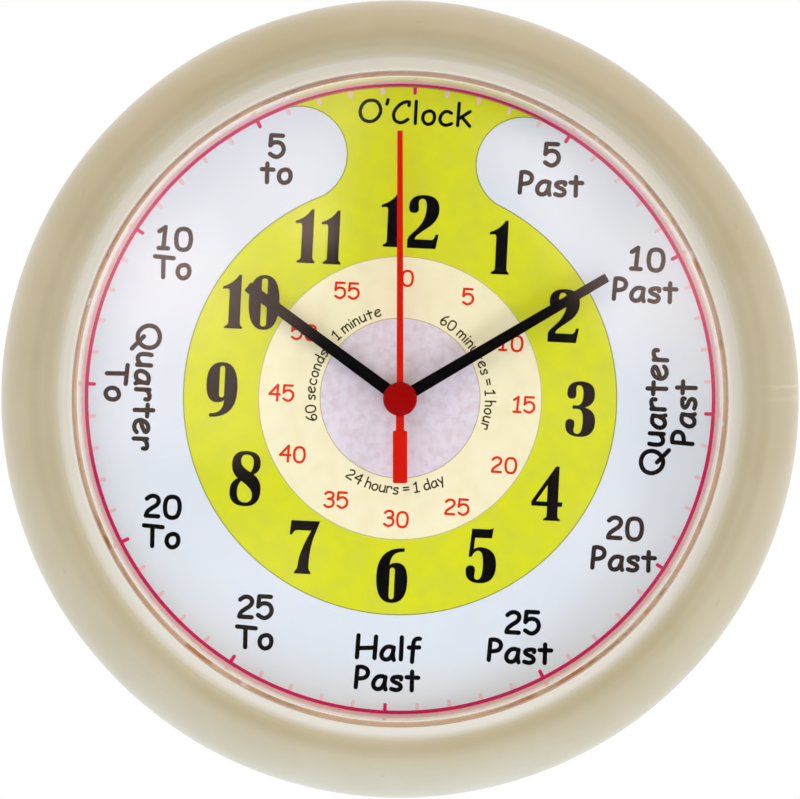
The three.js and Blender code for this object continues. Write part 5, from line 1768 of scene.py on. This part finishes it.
@dataclass
class Studio:
    """The floor, the lamps, the sky and the camera."""

    distance: float = 0.941
    lens: float = 114.0
    roll: float = 2.8
    lift: float = -0.0002
    floor_depth: float = -0.32
    floor_radius: float = 0.95
    floor_fade: Point = (0.3, 0.9)
    ambient: float = 0.75
    ambient_side: float = 0.57
    lamps: tuple[Lamp, ...] = (
        Lamp("upper lamp", (-0.9, -1.3, 1.0), 1.0, 4.4, (255, 246, 230)),
        Lamp("low lamp", (-0.15, -0.45, -0.28), 0.3, 0.45, (190, 215, 255)),
        Lamp("under lamp", (-0.04, 0.1, -0.27), 0.7, 2.2, (160, 196, 255), (-0.04, 0.1, 0.0)),
        Lamp("right lamp", (1.2, -0.7, -0.1), 0.4, 4.0, (240, 244, 255)))
    # Patches of light in the window that the lens mirrors: across, above, reach and strength; the first two
    # sets brighten the left and the right pane, and the last one stands by itself
    left_glows: tuple[Patch, ...] = ((-0.095, 0.045, 0.05, 2.8), (-0.053, 0.086, 0.033, 1.05))
    right_glows: tuple[Patch, ...] = ((0.102, 0.05, 0.036, 1.8), (0.055, 0.083, 0.03, 1.1))
    lone_glows: tuple[Patch, ...] = ((-0.036, 0.065, 0.016, 2.6), (0.07, -0.002, 0.034, 0.6),
                                     (0.09, -0.048, 0.034, 1.1), (-0.05, -0.074, 0.04, 0.7))
    left_light: float = 1.5
    right_light: float = 1.75
    dark_light: float = 0.006

    def floor(self) -> None:
        """Lays a pale round floor below the clock, which the camera sees fade into the white room."""
        wide, thick = self.floor_radius / MM, 20.0
        mesh = Blank().turn([(0.0, 0.0), (wide, 0.0), (wide, thick), (0.0, thick)], 128).done()
        mesh.transform(Matrix.Rotation(-math.pi / 2, 4, "X"))
        mesh.transform(Matrix.Translation((0.0, 0.0, self.floor_depth - max(v.co.z for v in mesh.vertices))))
        paint = Paint("pale floor")
        shade = paint.mix(paint.noise(220.0, 2.0), tone((240, 243, 248)), tone((236, 239, 244)))
        paint.feed(Base_Color=shade, Roughness=0.8)
        right, ahead, _ = paint.axes()
        far = (right ** 2 + ahead ** 2).math("SQRT").above(*self.floor_fade)
        seen = Signal(paint, paint.add("ShaderNodeLightPath").outputs["Is Camera Ray"])
        white = paint.add("ShaderNodeEmission", values={"Color": tone((255, 255, 255)), "Strength": 1.0})
        paint.blend(seen * far, white.outputs[0])
        mesh.materials.append(paint.material)
        floor = bpy.data.objects.new("floor", mesh)
        bpy.context.scene.collection.objects.link(floor)

    def sky(self) -> None:
        """Makes a white room that is darker in front, where the camera stands, below its upper left."""
        world = bpy.data.worlds.new("white room")
        world.use_nodes = True
        world.cycles.sampling_method = "NONE"
        bpy.context.scene.world = world
        room = Shading(world.node_tree)
        right, ahead, up = room.axes(Signal(room, room.add("ShaderNodeTexCoord").outputs["Generated"]))

        def glows(patches: Sequence[Patch]) -> Signal:
            """Adds up round soft patches of light.

            Args:
                patches: the patches.

            Returns:
                Their light.
            """
            total = None
            for across, above, reach, strength in patches:
                away = ((right - across) ** 2 + (up - above) ** 2).math("SQRT")
                patch = (1 - away.above(0.0, reach)) * strength
                total = total + patch if total else patch
            return total

        front = (ahead * -1.0).above(0.50, 0.84)
        narrow = (ahead * -1.0).above(0.972, 0.988)
        left_pane = (up * 0.25 - right).above(0.0385, 0.0555) * up.above(-0.036, -0.014)
        right_pane = (up * 0.7 + right).above(0.0917, 0.1088) * up.above(-0.016, 0.024)
        right_pane = right_pane * (1 - up.above(0.102, 0.112))
        panes = left_pane * (glows(self.left_glows) + self.left_light)
        panes = panes + right_pane * (glows(self.right_glows) + self.right_light) + glows(self.lone_glows)
        mirrored = (1 - front) + front * (narrow * panes + self.dark_light)
        rays = room.add("ShaderNodeLightPath")
        glossy = Signal(room, rays.outputs["Is Glossy Ray"])
        seen = Signal(room, rays.outputs["Is Camera Ray"])
        sideways = 1 - ahead.math("ABSOLUTE")
        plain = (1 - glossy) * (sideways * self.ambient_side + self.ambient) + glossy * mirrored
        colour = room.mix(up.above(-0.9, 0.9), tone((236, 243, 255)), tone((255, 249, 238)))
        colour = room.mix(glossy, colour, tone((255, 255, 255)))
        colour = room.mix(seen, colour, tone((255, 255, 255)))
        colour = room.mix(front * glossy, colour, tone((255, 218, 204)))
        back = room.add("ShaderNodeBackground", values={"Color": colour,
                                                        "Strength": seen + (1 - seen) * plain})
        room.add("ShaderNodeOutputWorld", values={"Surface": back.outputs[0]})

    def camera(self) -> None:
        """Stands the camera where the photograph was taken from."""
        data = bpy.data.cameras.new("camera")
        data.lens = self.lens
        data.sensor_width = 36.0
        data.sensor_fit = "HORIZONTAL"
        data.clip_start = 0.01
        camera = bpy.data.objects.new("camera", data)
        camera.location = (0.0, -self.distance, self.lift)
        upright = Matrix.Rotation(math.pi / 2, 4, "X")
        camera.rotation_euler = (Matrix.Rotation(math.radians(-self.roll), 4, "Y") @ upright).to_euler()
        bpy.context.scene.collection.objects.link(camera)
        bpy.context.scene.camera = camera

    def build(self) -> None:
        """Builds the studio."""
        self.camera()
        self.floor()
        self.sky()
        for lamp in self.lamps:
            lamp.hang()
        bpy.context.scene.view_settings.view_transform = "Standard"


def main() -> None:
    """Builds the clock piece by piece, then the studio round it."""
    ring = ring_recipe()
    strokes = stroke_recipe()
    Studio().build()
    case = Case()
    case.rim(ring)
    case.lens()
    plate = Plate()
    plate.plate(ring)
    plate.fasteners(ring)
    dial = Dial()
    dial.sheet()
    dial.edges(strokes)
    dial.ticks(ring)
    dial.figures()
    dial.lettering(strokes)
    Hands().build()
    movement = Movement()
    movement.box()
    movement.cell()
    movement.marks(strokes)
    movement.coil()
    movement.dress()


if __name__ == "__main__":
    main()
